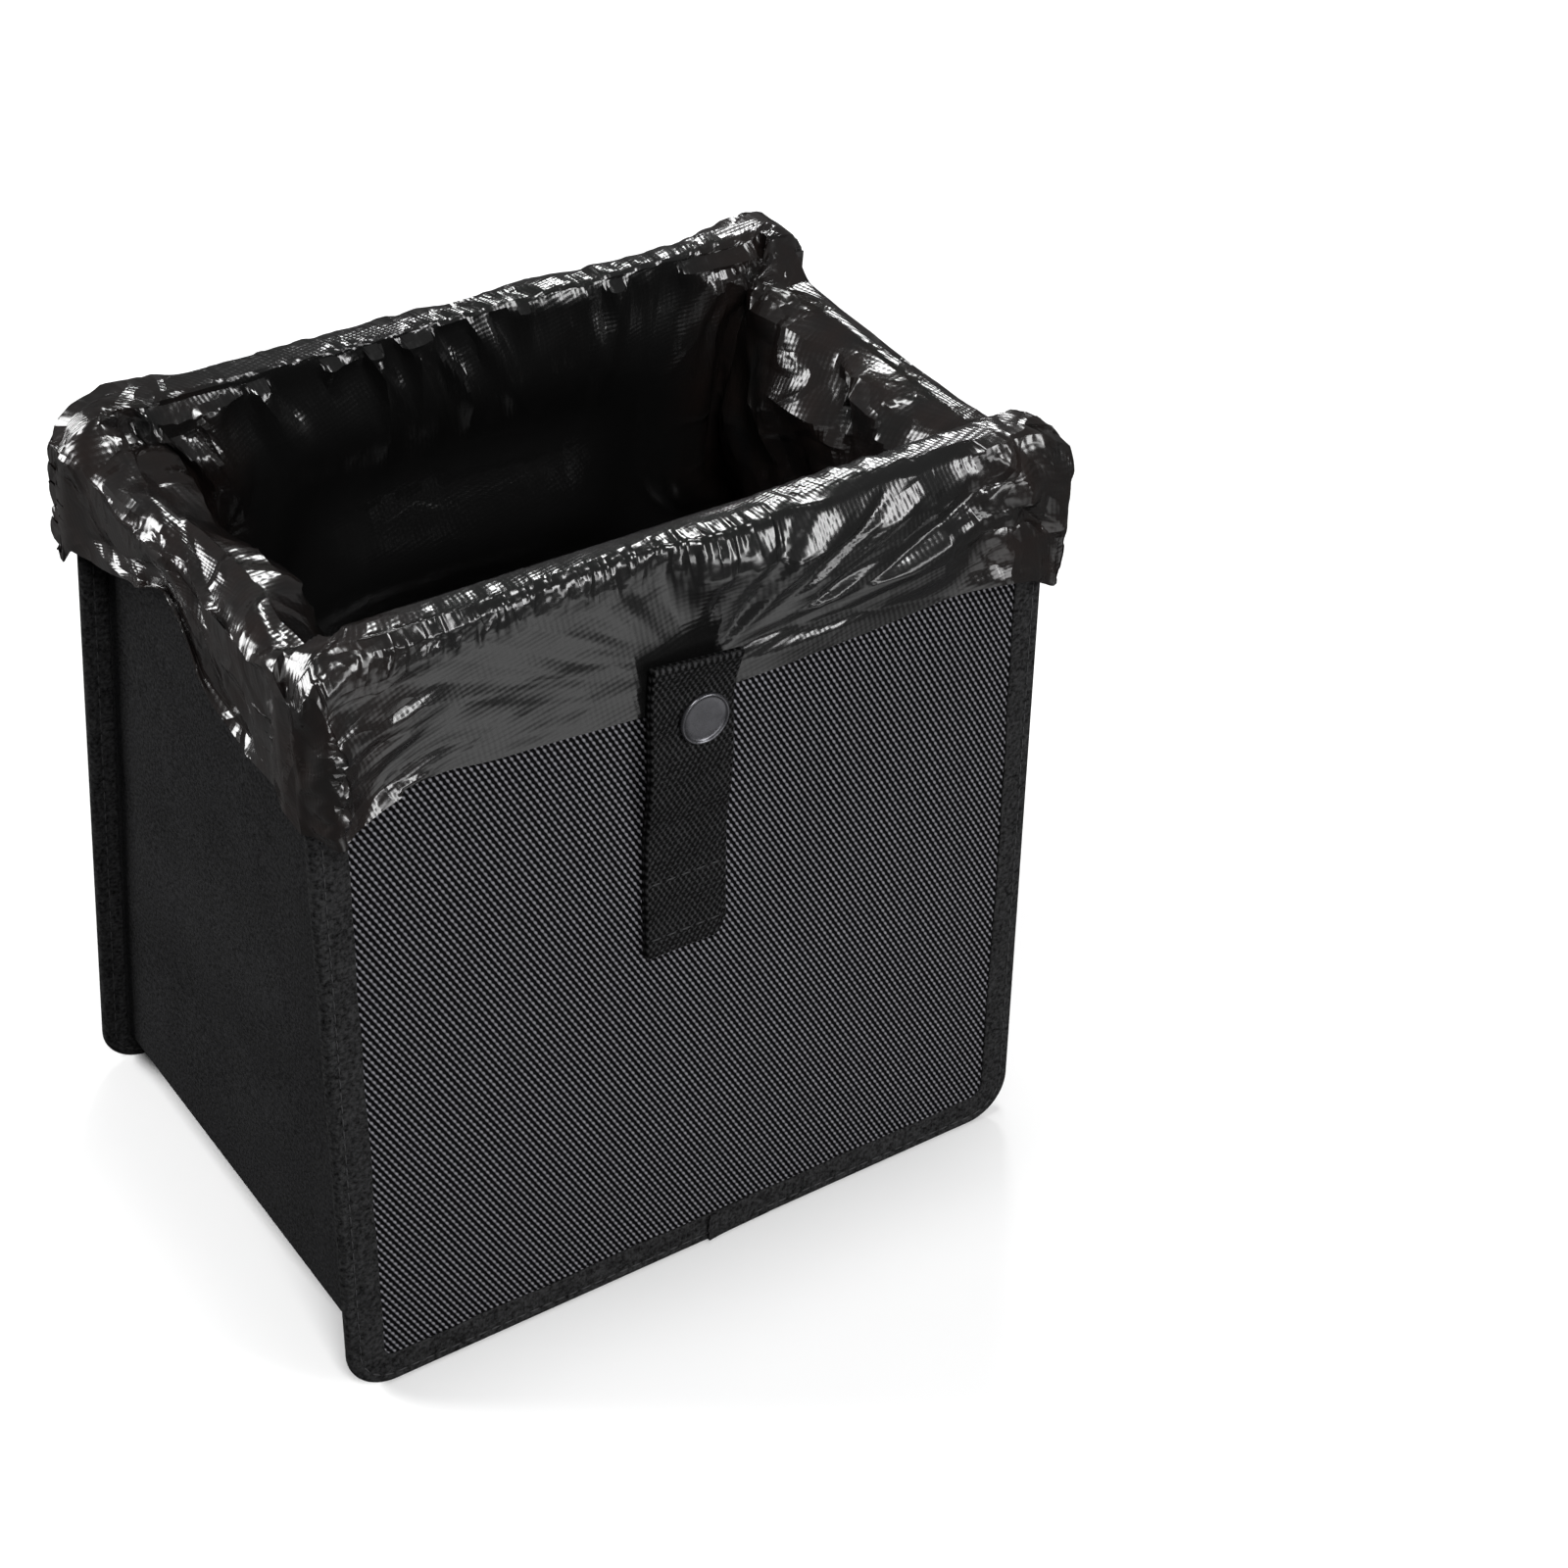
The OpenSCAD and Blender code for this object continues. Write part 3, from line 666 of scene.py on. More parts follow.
MAKERS = {
    "woven_facing": woven_material,
    "panel_board": board_material,
    "lining_cloth": lambda n, f: cloth_material(n, f.lining, 0.6, 0.12),
    "binding_tape": tape_material,
    "thread": thread_material,
    "gusset_cloth": lambda n, f: cloth_material(n, f.cloth),
    "webbing": webbing_material,
    "snap_metal": metal_material,
    "liner_film": film_material,
}


def material(slot):
    """The finish of one of the record's material slots, made once."""
    name = "trash_bin_" + slot
    return bpy.data.materials.get(name) or MAKERS[slot](name, settings().finish)


def place_piece(obj, slot, *nodes):
    """Gives a piece the finish of the given slot and what it rides on, and hides the solids it stands for."""
    obj.data.materials.append(material(slot))
    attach(obj, "root")
    if nodes:
        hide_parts(*nodes)
    return obj


# Sewing by Geometry Nodes

def stitch_tree():
    """Stitches of thread along a line of points, laid on a face with the given normal."""
    tree = bpy.data.node_groups.get("trash_bin_stitches")
    if tree:
        return tree
    tree = bpy.data.node_groups.new("trash_bin_stitches", "GeometryNodeTree")
    face = tree.interface
    face.new_socket("Line", in_out="INPUT", socket_type="NodeSocketGeometry")
    for name, kind, value in (("Pitch", "NodeSocketFloat", 0.004), ("Stitch", "NodeSocketFloat", 0.003),
                              ("Thread", "NodeSocketFloat", 0.0004), ("Sides", "NodeSocketInt", 6),
                              ("Face", "NodeSocketVector", (0, 0, 1)), ("Finish", "NodeSocketMaterial", None)):
        socket = face.new_socket(name, in_out="INPUT", socket_type=kind)
        if value is not None:
            socket.default_value = value
    face.new_socket("Sewing", in_out="OUTPUT", socket_type="NodeSocketGeometry")

    def node(kind, made=None, values=None):
        return add_node(tree, kind, made, values)

    given = node("NodeGroupInput").outputs
    line = node("GeometryNodeMeshToCurve", values={"Mesh": given["Line"]})
    spaced = node("GeometryNodeResampleCurve", {"mode": "LENGTH"}, {"Curve": line.outputs[0], "Length": given["Pitch"]})
    ball = node("GeometryNodeMeshUVSphere", values={"Segments": given["Sides"], "Rings": 6, "Radius": 0.5})
    size = node("ShaderNodeCombineXYZ", values={0: given["Stitch"], 1: given["Thread"], 2: given["Thread"]})
    bead = node("GeometryNodeTransform", values={"Geometry": ball.outputs[0], "Scale": size.outputs[0]})
    tangent = node("GeometryNodeInputTangent")
    along = node("FunctionNodeAlignRotationToVector", {"axis": "X"}, {"Vector": tangent.outputs[0]})
    flat = node("FunctionNodeAlignRotationToVector", {"axis": "Z", "pivot_axis": "X"},
                {"Rotation": along.outputs[0], "Vector": given["Face"]})
    sewn = node("GeometryNodeInstanceOnPoints", values={"Points": spaced.outputs[0], "Instance": bead.outputs[0],
                                                        "Rotation": flat.outputs[0]})
    real = node("GeometryNodeRealizeInstances", values={"Geometry": sewn.outputs[0]})
    done = node("GeometryNodeSetMaterial", values={"Geometry": real.outputs[0], "Material": given["Finish"]})
    smooth = node("GeometryNodeSetShadeSmooth", values={"Geometry": done.outputs[0]})
    node("NodeGroupOutput", values={0: smooth.outputs[0]})
    return tree


def sew(name, points, normal, closed=True):
    """Runs the stitch tree along points in millimetres and returns plain mesh data."""
    g = settings().sewing
    line = bpy.data.meshes.new(name + "_line")
    count = len(points)
    edges = [(i, (i + 1) % count) for i in range(count if closed else count - 1)]
    line.from_pydata([tuple(p) for p in np.asarray(points) / 1000], edges, [])
    obj = put(name + "_line", line)
    mod = obj.modifiers.new("sewing", "NODES")
    mod.node_group = stitch_tree()
    values = {"Pitch": g.pitch, "Stitch": g.stitch, "Thread": g.thread, "Sides": g.sides,
              "Face": tuple(normal), "Finish": material("thread")}
    for item in mod.node_group.interface.items_tree:
        if item.in_out == "INPUT" and item.name in values:
            mod[item.identifier] = values[item.name]
    bpy.context.view_layer.update()
    made = bpy.data.meshes.new_from_object(obj.evaluated_get(bpy.context.evaluated_depsgraph_get()))
    obj.modifiers.clear()
    bpy.data.objects.remove(obj)
    return made


def join(name, meshes):
    """One object from several plain meshes."""
    verts, faces, start = [], [], 0
    for mesh in meshes:
        verts += [tuple(v.co) for v in mesh.vertices]
        faces += [tuple(start + i for i in f.vertices) for f in mesh.polygons]
        start += len(mesh.vertices)
    return plain_object(name, verts, faces)


# The pieces

def make_facing(bin_, back):
    """The woven cloth inside the tape, a little puffed over its board."""
    s = bin_.s
    side = "back" if back else "front"
    hidden = 6.5
    hx, low, high = s.width / 2 - hidden, hidden, bin_.panel_h - hidden
    x, up = np.meshgrid(np.linspace(-hx, hx, 130), np.linspace(low, high, 136))
    edge = np.clip(np.minimum(np.minimum(hx - np.abs(x), up - low), high - up) / 14, 0, 1)
    out = -s.tape - s.facing / 2 + 0.28 * edge + 0.12 * edge * noise2(x, up, 31 + back, 55)
    grid = bin_.on_panel(np.stack([x, up, out], -1), back)
    uv = np.stack([x / 1000, up / 1000], -1)
    obj = shell(side + "_facing_cloth", grid, s.facing * 0.8, uv)
    place_piece(obj, "woven_facing", side + "_facing")
    2 * hx / 1000
    (high - low) / 1000


def tape_section(bin_):
    """The tape's section as a closed loop: how far in from the edge, and how far out of the face."""
    s, n, t = bin_.s, bin_.nose, bin_.s.tape
    inner = s.flange - 0.3
    leaf_in = [(e, -2 * n) for e in np.linspace(inner, n, 9)[:-1]]
    nose = [(n - n * math.cos(a), -n + n * math.sin(a)) for a in np.linspace(-math.pi / 2, math.pi / 2, 15)]
    leaf = [(e, 0.0) for e in np.linspace(n, s.tape_leaf, 15)[1:]]
    end = [(s.tape_leaf + 0.12, -t / 2)]
    under = [(e, -t) for e in np.linspace(s.tape_leaf, n, 6)]
    hollow = [(n - (n - t) * math.cos(a), -n + (n - t) * math.sin(a))
              for a in np.linspace(math.pi / 2, -math.pi / 2, 9)[1:-1]]
    inside = [(e, -2 * n + t) for e in np.linspace(n, inner, 5)]
    return np.array(leaf_in + nose + leaf + end + under + hollow + inside)


def make_binding(bin_, back):
    """The tape round a panel: soft waves along its free edge, a dip under the stitches, puckers in the corners."""
    s = bin_.s
    side = "back" if back else "front"
    pts, way, so_far = loop_path(bin_)
    arc, total = so_far[:-1], so_far[-1]
    sec = tape_section(bin_)
    e, o = sec.T
    g = bin_.sewing
    leaf = rise(e, bin_.nose, s.tape_leaf - bin_.nose)
    beside = e > bin_.nose * 0.6
    outer, inner = (o > -s.tape - 0.01) & beside, (o < -bin_.panel_t + s.tape + 0.01) & beside
    wave = noise1(arc, 5 + back, total, 40)[:, None] * 0.22 + noise1(arc, 8 + back, total, 9)[:, None] * 0.3
    slanting = (np.abs(way) > 0.02).all(1)
    corner = (np.clip(1 - np.abs(np.abs(way[:, 0]) - 0.707) / 0.3, 0, 1) * slanting)[:, None]
    dip = bell(e, g.inset, 0.75) * 0.16
    puff = 0.16 * np.sin(np.pi * rise(e, g.inset, s.tape_leaf - g.inset))
    pucker = corner * 0.2 * np.sin(arc / 1.35)[:, None] * leaf
    lift = np.where(outer, puff - dip, 0) + np.where(inner, dip - 0.6 * puff, 0)
    lift = lift + np.where(outer, pucker, -pucker * inner)
    ripple = noise1(arc, 15 + back, total, 60)[:, None] * 0.07
    ee = e + wave * leaf ** 2 * outer
    oo = o + lift + ripple * (outer | inner) * leaf
    flat = pts[:, None, :] + way[:, None, :] * ee[..., None]
    grid = bin_.on_panel(np.concatenate([flat, oo[..., None]], -1), back)
    # Flatten what would reach below the floor.
    grid[..., 2] = np.maximum(grid[..., 2], 0.0)
    across = np.concatenate([[0], np.cumsum(np.hypot(*np.diff(np.vstack([sec, sec[:1]]), axis=0).T))]) / 1000
    uv = np.stack(np.meshgrid(across, so_far / 1000), -1)
    grid, uv = grid[:, ::-1], uv[:, ::-1]
    faces, r, c = quads(numbers(*grid.shape[:2]), (True, True))
    obj = new_object(side + "_binding_tape", grid.reshape(-1, 3), faces, uv[r, c])
    place_piece(obj, "binding_tape", side + "_binding")
    end = make_tape_end(bin_, back)
    total / 1000


def make_tape_end(bin_, back):
    """The tape's free end in the middle of the bottom edge, with its cut edge a little raised."""
    s = bin_.s
    side = "back" if back else "front"
    n = bin_.nose
    start, run, inside = 3.0, 22.0, 5.5
    a = np.linspace(-math.pi / 2, math.pi / 2, 12)
    e = np.concatenate([np.linspace(inside, n, 4)[:-1], n - n * np.cos(a), np.linspace(n, s.tape_leaf + 0.3, 10)[1:]])
    o = np.concatenate([np.full(3, -2 * n), -n + n * np.sin(a), np.zeros(9)])
    ne = np.concatenate([np.zeros(3), -np.cos(a), np.zeros(9)])
    no = np.concatenate([-np.ones(3), np.sin(a), np.ones(9)])
    t = np.linspace(0, 1, 16)[:, None]
    x = start + 0.9 * ((e - inside) / 5) ** 2 * (1 - t) + run * t + 0.25 * np.sin(e * 2.1) * (1 - t) ** 6
    raised = (0.42 - 0.78 * t) * (0.3 + 0.7 * rise(e, 0.3, 2.0)) + 0.35 * (1 - t) ** 8
    grid = np.stack([x, e + ne * raised, o + no * raised + 0.12 * np.sin(np.pi * rise(e, 3, 7))], -1)
    grid = bin_.on_panel(grid, back)
    grid[..., 2] = np.maximum(grid[..., 2], 0.02)
    obj = shell(side + "_tape_end", grid, s.tape * 0.8)
    for vertex in obj.data.vertices:
        vertex.co.z = max(vertex.co.z, 0)
    return place_piece(obj, "binding_tape")


def make_rim_tape(bin_, sign):
    """Tape folded over the top of a soft wall."""
    s = bin_.s
    side = "left" if sign < 0 else "right"
    half = s.gusset / 2 + s.tape / 2
    a = np.linspace(math.pi, 0, 9)
    off = np.concatenate([np.full(6, -half), half * np.cos(a), np.full(6, half)])
    drop = np.concatenate([np.linspace(s.rim_leaf, 1, 6), -half * np.sin(a), np.linspace(1, s.rim_leaf, 6)])
    q = np.linspace(-1, 1, 60)[:, None]
    z = bin_.gusset_top - drop[None] + 0 * q
    y = q * (bin_.face_y(z, bin_.panel_t + 0.3))
    x = sign * (bin_.gusset_x - s.gusset / 2 - bin_.bow(y, z)) + off[None]
    obj = shell(side + "_rim_tape", np.stack([x, y, z], -1), s.tape * 0.9)
    place_piece(obj, "binding_tape", side + "_rim_binding")
    2 * bin_.face_y(bin_.gusset_top, bin_.panel_t) / 1000


def make_gusset(bin_):
    """Left wall, base and right wall in one strip, turned out along both long edges as the seam."""
    s = bin_.s
    t = s.gusset
    gx, gz, r = bin_.gusset_x - t / 2, s.flange + t / 2, s.corner - s.flange - t / 2
    down = [(-gx, z, -1, 0) for z in np.linspace(bin_.gusset_top, gz + r, 84)]
    turn = [(-gx + r - r * math.cos(a), gz + r - r * math.sin(a), -math.cos(a), -math.sin(a))
            for a in np.linspace(0, math.pi / 2, 8)[1:]]
    base = [(x, gz, 0, -1) for x in np.linspace(-gx + r, gx - r, 76)[1:-1]]
    half = np.array(down + turn)
    path = np.concatenate([half, np.array(base), half[::-1] * [-1, 1, -1, 1]])
    px, pz, wx, wz = path.T[:, :, None]
    q = np.linspace(-1, 1, 60)[None]
    y = q * (bin_.face_y(pz, bin_.seam + t / 2))
    soft = np.clip((1 - np.abs(q)) * 6, 0, 1)
    arc = np.arange(len(path))[:, None] * 2.6
    wob = (noise2(arc, y, 61, 90) * 0.7 + noise2(arc, y, 62, 34) * 0.22) * soft * rise(pz, 14, 40)
    pucker = 0.25 * np.sin(arc / 1.9 + 2 * noise1(arc, 3, 600, 20)) * np.exp(-(1 - np.abs(q)) * 16) * soft
    push = wob + pucker - bin_.bow(y, pz) * (np.abs(wx) > 0.99)
    x, z = px + wx * push, pz + wz * np.where(pz > gz + 0.5, push, np.minimum(push, 0.4))
    mid = np.stack(np.broadcast_arrays(x, y, z), -1)

    def flange(sign, reach):
        fx, fz = px + wx * reach, pz + wz * reach
        return np.stack([fx, sign * bin_.face_y(fz, bin_.seam + t / 2), fz], -1)
    low = [flange(-1, d) for d in (5.0, 3.0, 1.2)]
    high = [flange(1, d) for d in (1.2, 3.0, 5.0)]
    grid = np.concatenate([*low, mid, *high], 1)
    obj = shell("gusset_cloth", grid, t * 0.9)
    place_piece(obj, "gusset_cloth", "gusset")
    # Cut as wide as it is at the floor, seams included; the panels lean in, so less of it is seen higher up.
    long_side = 2 * (bin_.gusset_top - gz) + 2 * gx
    long_side / 1000
    (long_side * (s.depth - 8)) / 1e6


def strap_off(g, down):
    """How far the tab's under layer stands off the facing at a distance below its top."""
    t = rise(down, g.length * 0.36, g.length * 0.28)
    return g.lift * (1 - t * t * (3 - 2 * t))


def make_strap(bin_):
    """Webbing folded at the top, its ribs in the mesh, pushed out at the top by the bunched film."""
    s, g = bin_.s, bin_.strap
    top = bin_.panel_h - g.drop
    w = g.web
    down = np.linspace(g.length, w * 0.6, 250)
    half = w / 2
    a = np.linspace(-math.pi / 2, math.pi / 2, 10)[1:-1]
    under = down[::4]
    along = np.concatenate([under, w * 0.6 - half * np.cos(a), down[::-1]])
    depth = np.concatenate([np.full(len(under), half), w + half * np.sin(a), np.full(len(down), 1.5 * w)])
    front = np.concatenate([np.zeros(len(under) + len(a)), np.ones(len(down))])
    across = np.linspace(-1, 1, 56)
    al, cr = np.meshgrid(along, across * g.width / 2, indexing="ij")
    de, fr = depth[:, None], front[:, None]
    flare = g.flare * np.clip(1 - al / 17, 0, 1) ** 1.6 * (1 + 0.55 * cr / (g.width / 2))
    edge = np.clip((g.width / 2 - np.abs(cr)) / 0.9, 0, 1)
    sway = 0.35 * np.sin(al / 17 + 0.6) * (al / g.length)
    cut = np.clip((cr - (g.width / 2 - 3)) / 3, 0, 1) * 5
    al2 = np.where(al > g.length * 0.5, al - cut * rise(al - g.length, -12, 12), al)
    rib = np.cos(2 * np.pi * al / g.rib + 0.5 * np.sin(cr * 2.1))
    weft = np.cos(2 * np.pi * cr / 1.9 + np.pi * np.floor(al / g.rib))
    relief = fr * edge * (0.2 * rib + 0.14 * weft * (0.5 + 0.5 * rib) + 0.03 * noise2(al, cr, 77, 3.0))
    hem = 0.22 * bell(al, 9.5, 0.9) * fr
    snap = -0.25 * np.exp(-(((al - g.cap_drop) ** 2 + (cr - g.cap_place) ** 2) / 90)) * fr
    out = -s.tape + strap_off(g, al2) + de + flare + relief - hem + snap - 0.25 * (1 - edge) * fr
    grid = np.stack([g.place + cr + sway, top - al2, out], -1)
    grid = bin_.on_panel(grid)
    plain = np.stack([g.place + cr, top - al2, -s.tape + strap_off(g, al2) + de + flare], -1)
    n = grid_normals(bin_.on_panel(plain))
    steps = np.concatenate([[0], np.cumsum(np.hypot(np.diff(along), np.diff(depth)))]) / 1000
    uv = np.stack(np.meshgrid(across * g.width / 2000, steps), -1)
    obj = shell("strap_webbing", grid[:, ::-1], w * 0.94, uv[:, ::-1], -n[:, ::-1])
    place_piece(obj, "webbing", "strap")


def make_strap_stitches(bin_):
    """Two rows of stitches across the tab's sewn end."""
    s, g = bin_.s, bin_.strap
    top = bin_.panel_h - g.drop
    normal = bin_.on_panel([0, 0, 1]) - bin_.on_panel([0, 0, 0])
    parts = []
    for i, up in enumerate((6, 24)):
        x = np.linspace(-g.width / 2 + 2.5, g.width / 2 - 4.0, 30) + g.place
        out = -s.tape + 2 * g.web + 0.05
        row = bin_.on_panel(np.stack([x, np.full(30, top - g.length + up), np.full(30, out)], -1))
        parts.append(sew("strap_row_%d" % i, row, normal, False))
    place_piece(join("strap_sewing", parts), "thread", "strap_stitches")


def make_stitches(bin_, back):
    """The sewing of one panel's tape, a row on its outer leaf and one on its inner leaf."""
    side = "back" if back else "front"
    g = bin_.sewing
    pts, way, _ = loop_path(bin_, turn=10)
    flat = pts + way * g.inset
    normal = bin_.on_panel([0, 0, 1], back) - bin_.on_panel([0, 0, 0], back)
    rows = []
    for i, out in enumerate((-0.06, -bin_.panel_t + 0.06)):
        line = bin_.on_panel(np.concatenate([flat, np.full((len(flat), 1), out)], -1), back)
        rows.append(sew("%s_row_%d" % (side, i), line, normal))
    place_piece(join(side + "_sewing", rows), "thread", side + "_stitches")


def make_cap(bin_):
    """The press stud's cap: a flat dished face inside a raised rolled rim, turned on its axis."""
    s, g = bin_.s, bin_.strap
    r = g.cap / 2
    # Shares of the radius with heights in millimetres, from the middle of the face to the middle underneath.
    profile = np.array([(0, 0.98), (0.35, 0.97), (0.65, 0.99), (0.8, 1.04), (0.845, 1.16), (0.875, 1.38), (0.91, 1.5),
                        (0.945, 1.46), (0.975, 1.24), (1, 0.9), (0.99, 0.5), (0.96, 0.15), (0.9, 0.02), (0.5, 0), (0, 0)])
    a = np.linspace(0, 2 * math.pi, 73)[:-1]
    rad, high = profile[1:-1, 0] * r, profile[1:-1, 1]
    top = bin_.panel_h - g.drop - g.cap_drop
    base = -s.tape + g.lift + 2 * g.web - 0.12
    ring = np.stack([np.cos(a)[None] * rad[:, None], np.sin(a)[None] * rad[:, None], high[:, None] + 0 * a[None]], -1)
    place = np.array([g.place + g.cap_place, top, base])
    grid = bin_.on_panel(ring + place)
    rows, cols = grid.shape[:2]
    q, _, _ = quads(numbers(rows, cols), (False, True))
    ends = bin_.on_panel(np.array([[0, 0, profile[0, 1]], [0, 0, profile[-1, 1]]]) + place)
    verts = np.concatenate([grid.reshape(-1, 3), ends])
    faces = [tuple(f[::-1]) for f in q.tolist()]
    middle, last = rows * cols, (rows - 1) * cols
    around = [(j, (j + 1) % cols) for j in range(cols)]
    faces += [(middle, j, j1) for j, j1 in around] + [(middle + 1, last + j1, last + j) for j, j1 in around]
    obj = plain_object("snap_cap_face", [tuple(v) for v in verts / 1000], faces)
    place_piece(obj, "snap_metal", "snap_cap")


# The liner bag

class Liner:
    """The film as a grid: rows from the bag's bottom up the inside, over the rims and down the cuff."""

    def __init__(self, bin_, k):
        self.bin = bin_
        self.k = k
        self.f, self.g = bin_.film, bin_.strap
        self.front, self.turn, self.side = 35 * k, 5 * k, 18 * k
        self.half = self.front + self.side + 2 * self.turn
        self.cols = 2 * self.half
        self.parts = (k, 8 * k, 2 * k, 12 * k)
        self.low, self.wall, self.over, self.hang = self.parts
        self.rows = sum(self.parts)
        self.top = self.plan(bin_.s.width / 2 + 0.8, bin_.face_y(bin_.s.height, -1), 4)
        self.ends = np.abs(self.top[:, 1]) > bin_.face_y(bin_.s.height, bin_.panel_t + 1)
        self.begin = self.start()

    def plan(self, a, b, r):
        """Points on a rounded rectangle, one for each column, from the front left corner anticlockwise."""
        n, t, m = self.front, self.turn, self.side
        fx, fy = 2 * np.arange(n) / n - 1, 2 * np.arange(m) / m - 1
        first, second = np.radians(-90 + 90 * np.arange(t) / t), np.radians(90 * np.arange(t) / t)
        x = np.concatenate([fx * (a - r), a - r + r * np.cos(first), np.full(m, a), a - r + r * np.cos(second)])
        y = np.concatenate([np.full(n, -b), r - b + r * np.sin(first), fy * (b - r), b - r + r * np.sin(second)])
        half = np.stack([x, y], -1)
        return np.concatenate([half, -half])

    def edge(self):
        """Height of the cuff's lower edge below each place of the rim."""
        s, g, f = self.bin.s, self.g, self.f
        x, y = self.top.T
        base = s.height - f.cuff
        near, far = np.clip(-y / 62, 0, 1), np.clip(y / 62, 0, 1)
        front = (base + 3 + 5.5 * bell(x, -80, 15) - 3.5 * bell(x, g.place, 26)
                 + 1.5 * bell(x, 80, 22) - np.where(x < 0, 2, 0) * (np.abs(x) / 113) ** 9)
        left = base + 6 + 16 * bell(y, 14, 30) - 4 * near ** 4 + 7 * far ** 2
        right = base + 2 + 3 * np.sin(y / 19 + 1)
        behind = base + 1 + 3 * np.sin(x / 24) + 2 * np.sin(x / 9 + 1)
        return np.where(self.ends, np.where(y < 0, front, behind), np.where(x < 0, left, right))

    def fan(self, x, down):
        """Folds that spread from under the tab up to the rim, deep to the right and shallow to the left."""
        g = self.g
        dx, dz = x - g.place - 4, g.drop + 9 - down
        far = np.hypot(dx, dz) + 1e-6
        turn = (np.degrees(np.arctan2(dz, dx)) + 90) % 360 - 90
        right = np.clip((110 - turn) / 22, 0, 1)
        fade = rise(far, 6, 30) * np.clip(down / 14 + 0.25, 0, 1) * np.exp(-np.clip(far - 78, 0, 200) / 20)
        broad = 0.5 + 0.5 * facets(turn / 12 + 0.2, np.log(far) * 0.9, 3, 0.12)
        fold = broad + 0.16 * rise(far, 20, 20) * facets(turn / 4.6, np.log(far) * 1.6, 9, 0.15)
        return 1.25 * (1.4 + 10 * right) * fade * np.maximum(fold - 0.22, 0)

    def lumps(self, x, y):
        """How far the cuff stands out from the front and back panels."""
        return np.where(y < 0, 0.5 + 1.0 * rise(x, 84, 22), 0.6)

    def folds(self, X):
        """How far each place of the settled film stands off in sharp folds, in millimetres."""
        x, y = self.top.T[:, None]
        k = np.arange(self.rows)[:, None]
        first, last = self.low + self.wall, self.low + self.wall + self.over
        rim = X[last - 1, :, 2][None]
        deep = np.maximum(rim - X[..., 2], 0)
        hem = np.clip(deep / (rim - X[-1:, :, 2]), 0, 1)
        corner = rise(np.abs(x), 74, 24)
        left = rise(-x, 70, 16)

        # The cuff in front: gathers under the rim, the fan, and bunched film in both corners.
        gather = crumple(x / 2.4 + 0.35 * deep, deep / 6 + x / 30, 4) * bell(deep, 0, 6.5)
        gather = gather * np.where(x < 18, 1, 0.15)
        bunch_r = crumple((x - 0.8 * deep) / 6, (x + deep) / 24, 6)
        bunch_r = bunch_r * rise(x, 80, 18) * (1 - 0.7 * rise(x, 102, 8))
        bunch_l = creases((deep + (0.22 + 0.1 * hem) * x) / 4.2, x / 24, 7) * left * rise(deep, 12, 12)
        flat = crumple((x + 0.7 * deep) / 22, deep / 30, 8)
        pressed = 1 - hem ** 2.5 * (1 - 0.3 * corner) * (1 - 0.6 * left)
        cuff_f = (self.fan(x, deep) + 1.4 * gather + 4.0 * bunch_r + 4.6 * bunch_l + 0.9 * flat) * pressed
        cuff_b = 2.6 * crumple(x / 9, deep / 34, 12) + 2.5 * corner * crumple((x + deep) / 8, deep / 20, 13)

        # Over the side rims: long creases, with a lip at the hem.
        along = np.abs(X[..., 0]) + deep
        loose = np.where(x < 0, np.clip((40 - y) / 12, 0.3, 1), 0.2)
        long = creases(along / 7 + 0.05 * y, (y + 0.4 * along) / 30, 14)
        tangle = rise(-y, 34, 16) * crumple((along - 0.5 * y) / 4.6, (y + along) / 15, 24, 0.15)
        cuff_s = (5.2 * long + 1.8 * rise(hem, 0.93, 0.07) + 6.5 * tangle) * loose
        crown_s = 3.4 * creases(along / 4.6 + 0.06 * y, y / 36, 16) * loose
        broken = np.where(y > 0, 1, rise(x, 10, 20))
        crown_e = 0.5 * gather + 1.5 * crumple(x / 5.5 + 0.05 * X[..., 1], X[..., 1] / 9, 27) * broken

        # Inside: flat folds on the side walls, and short creases that hang from the rim, most of them on the back.
        fade = np.clip(deep / 5, 0, 1) * np.exp(-((deep - 26) / 46) ** 2 * (deep > 26))
        wall_s = 7.5 * (1 + facets((deep + 0.5 * y) / 12, (y - 0.5 * deep) / 20, 21, 0.1)) * fade
        wall_e = 1.6 * crumple(x / 16, deep / 50, 20) + 8 * corner * crumple((x + 0.3 * deep) / 10, deep / 38, 22)
        hang = np.maximum(facets((x - 0.3 * deep) / 6.5, (deep + 0.4 * x) / 24, 26, 0.15), -0.2)
        hang = hang * bell(deep, 0, 26) * np.clip(deep / 2, 0, 1)
        wall_e = wall_e * fade + 5.5 * hang * np.where(y > 0, np.where(x < 10, 1, 0.75), 0.15)

        out = np.zeros_like(deep)
        for here, on_side, on_end in ((k >= last, cuff_s, np.where(y < 0, cuff_f, cuff_b)),
                                      ((k >= first) & (k < last), crown_s, crown_e),
                                      ((k >= self.low) & (k < first), wall_s, wall_e)):
            out = np.where(here, np.where(self.ends, on_end, on_side), out)
        return out

    def dress(self, X):
        """Adds the sharp folds along the film's outer side, eased where regions meet."""
        n = grid_normals(np.concatenate([X[:, -2:], X, X[:, :2]], 1))[:, 2:-2]
        size = self.folds(X)
        blur = size.copy()
        for _ in range(2 * self.k):
            blur = (blur + np.roll(blur, 1, 1) + np.roll(blur, -1, 1)) / 3
        meet = self.ends != np.roll(self.ends, 1)
        near = sum(np.roll(meet, k) for k in range(-2 * self.k, 2 * self.k)) > 0
        size = np.where(near[None], blur, size)
        X = X - n * size[..., None]
        self.hold(X, 4.0)
        return X

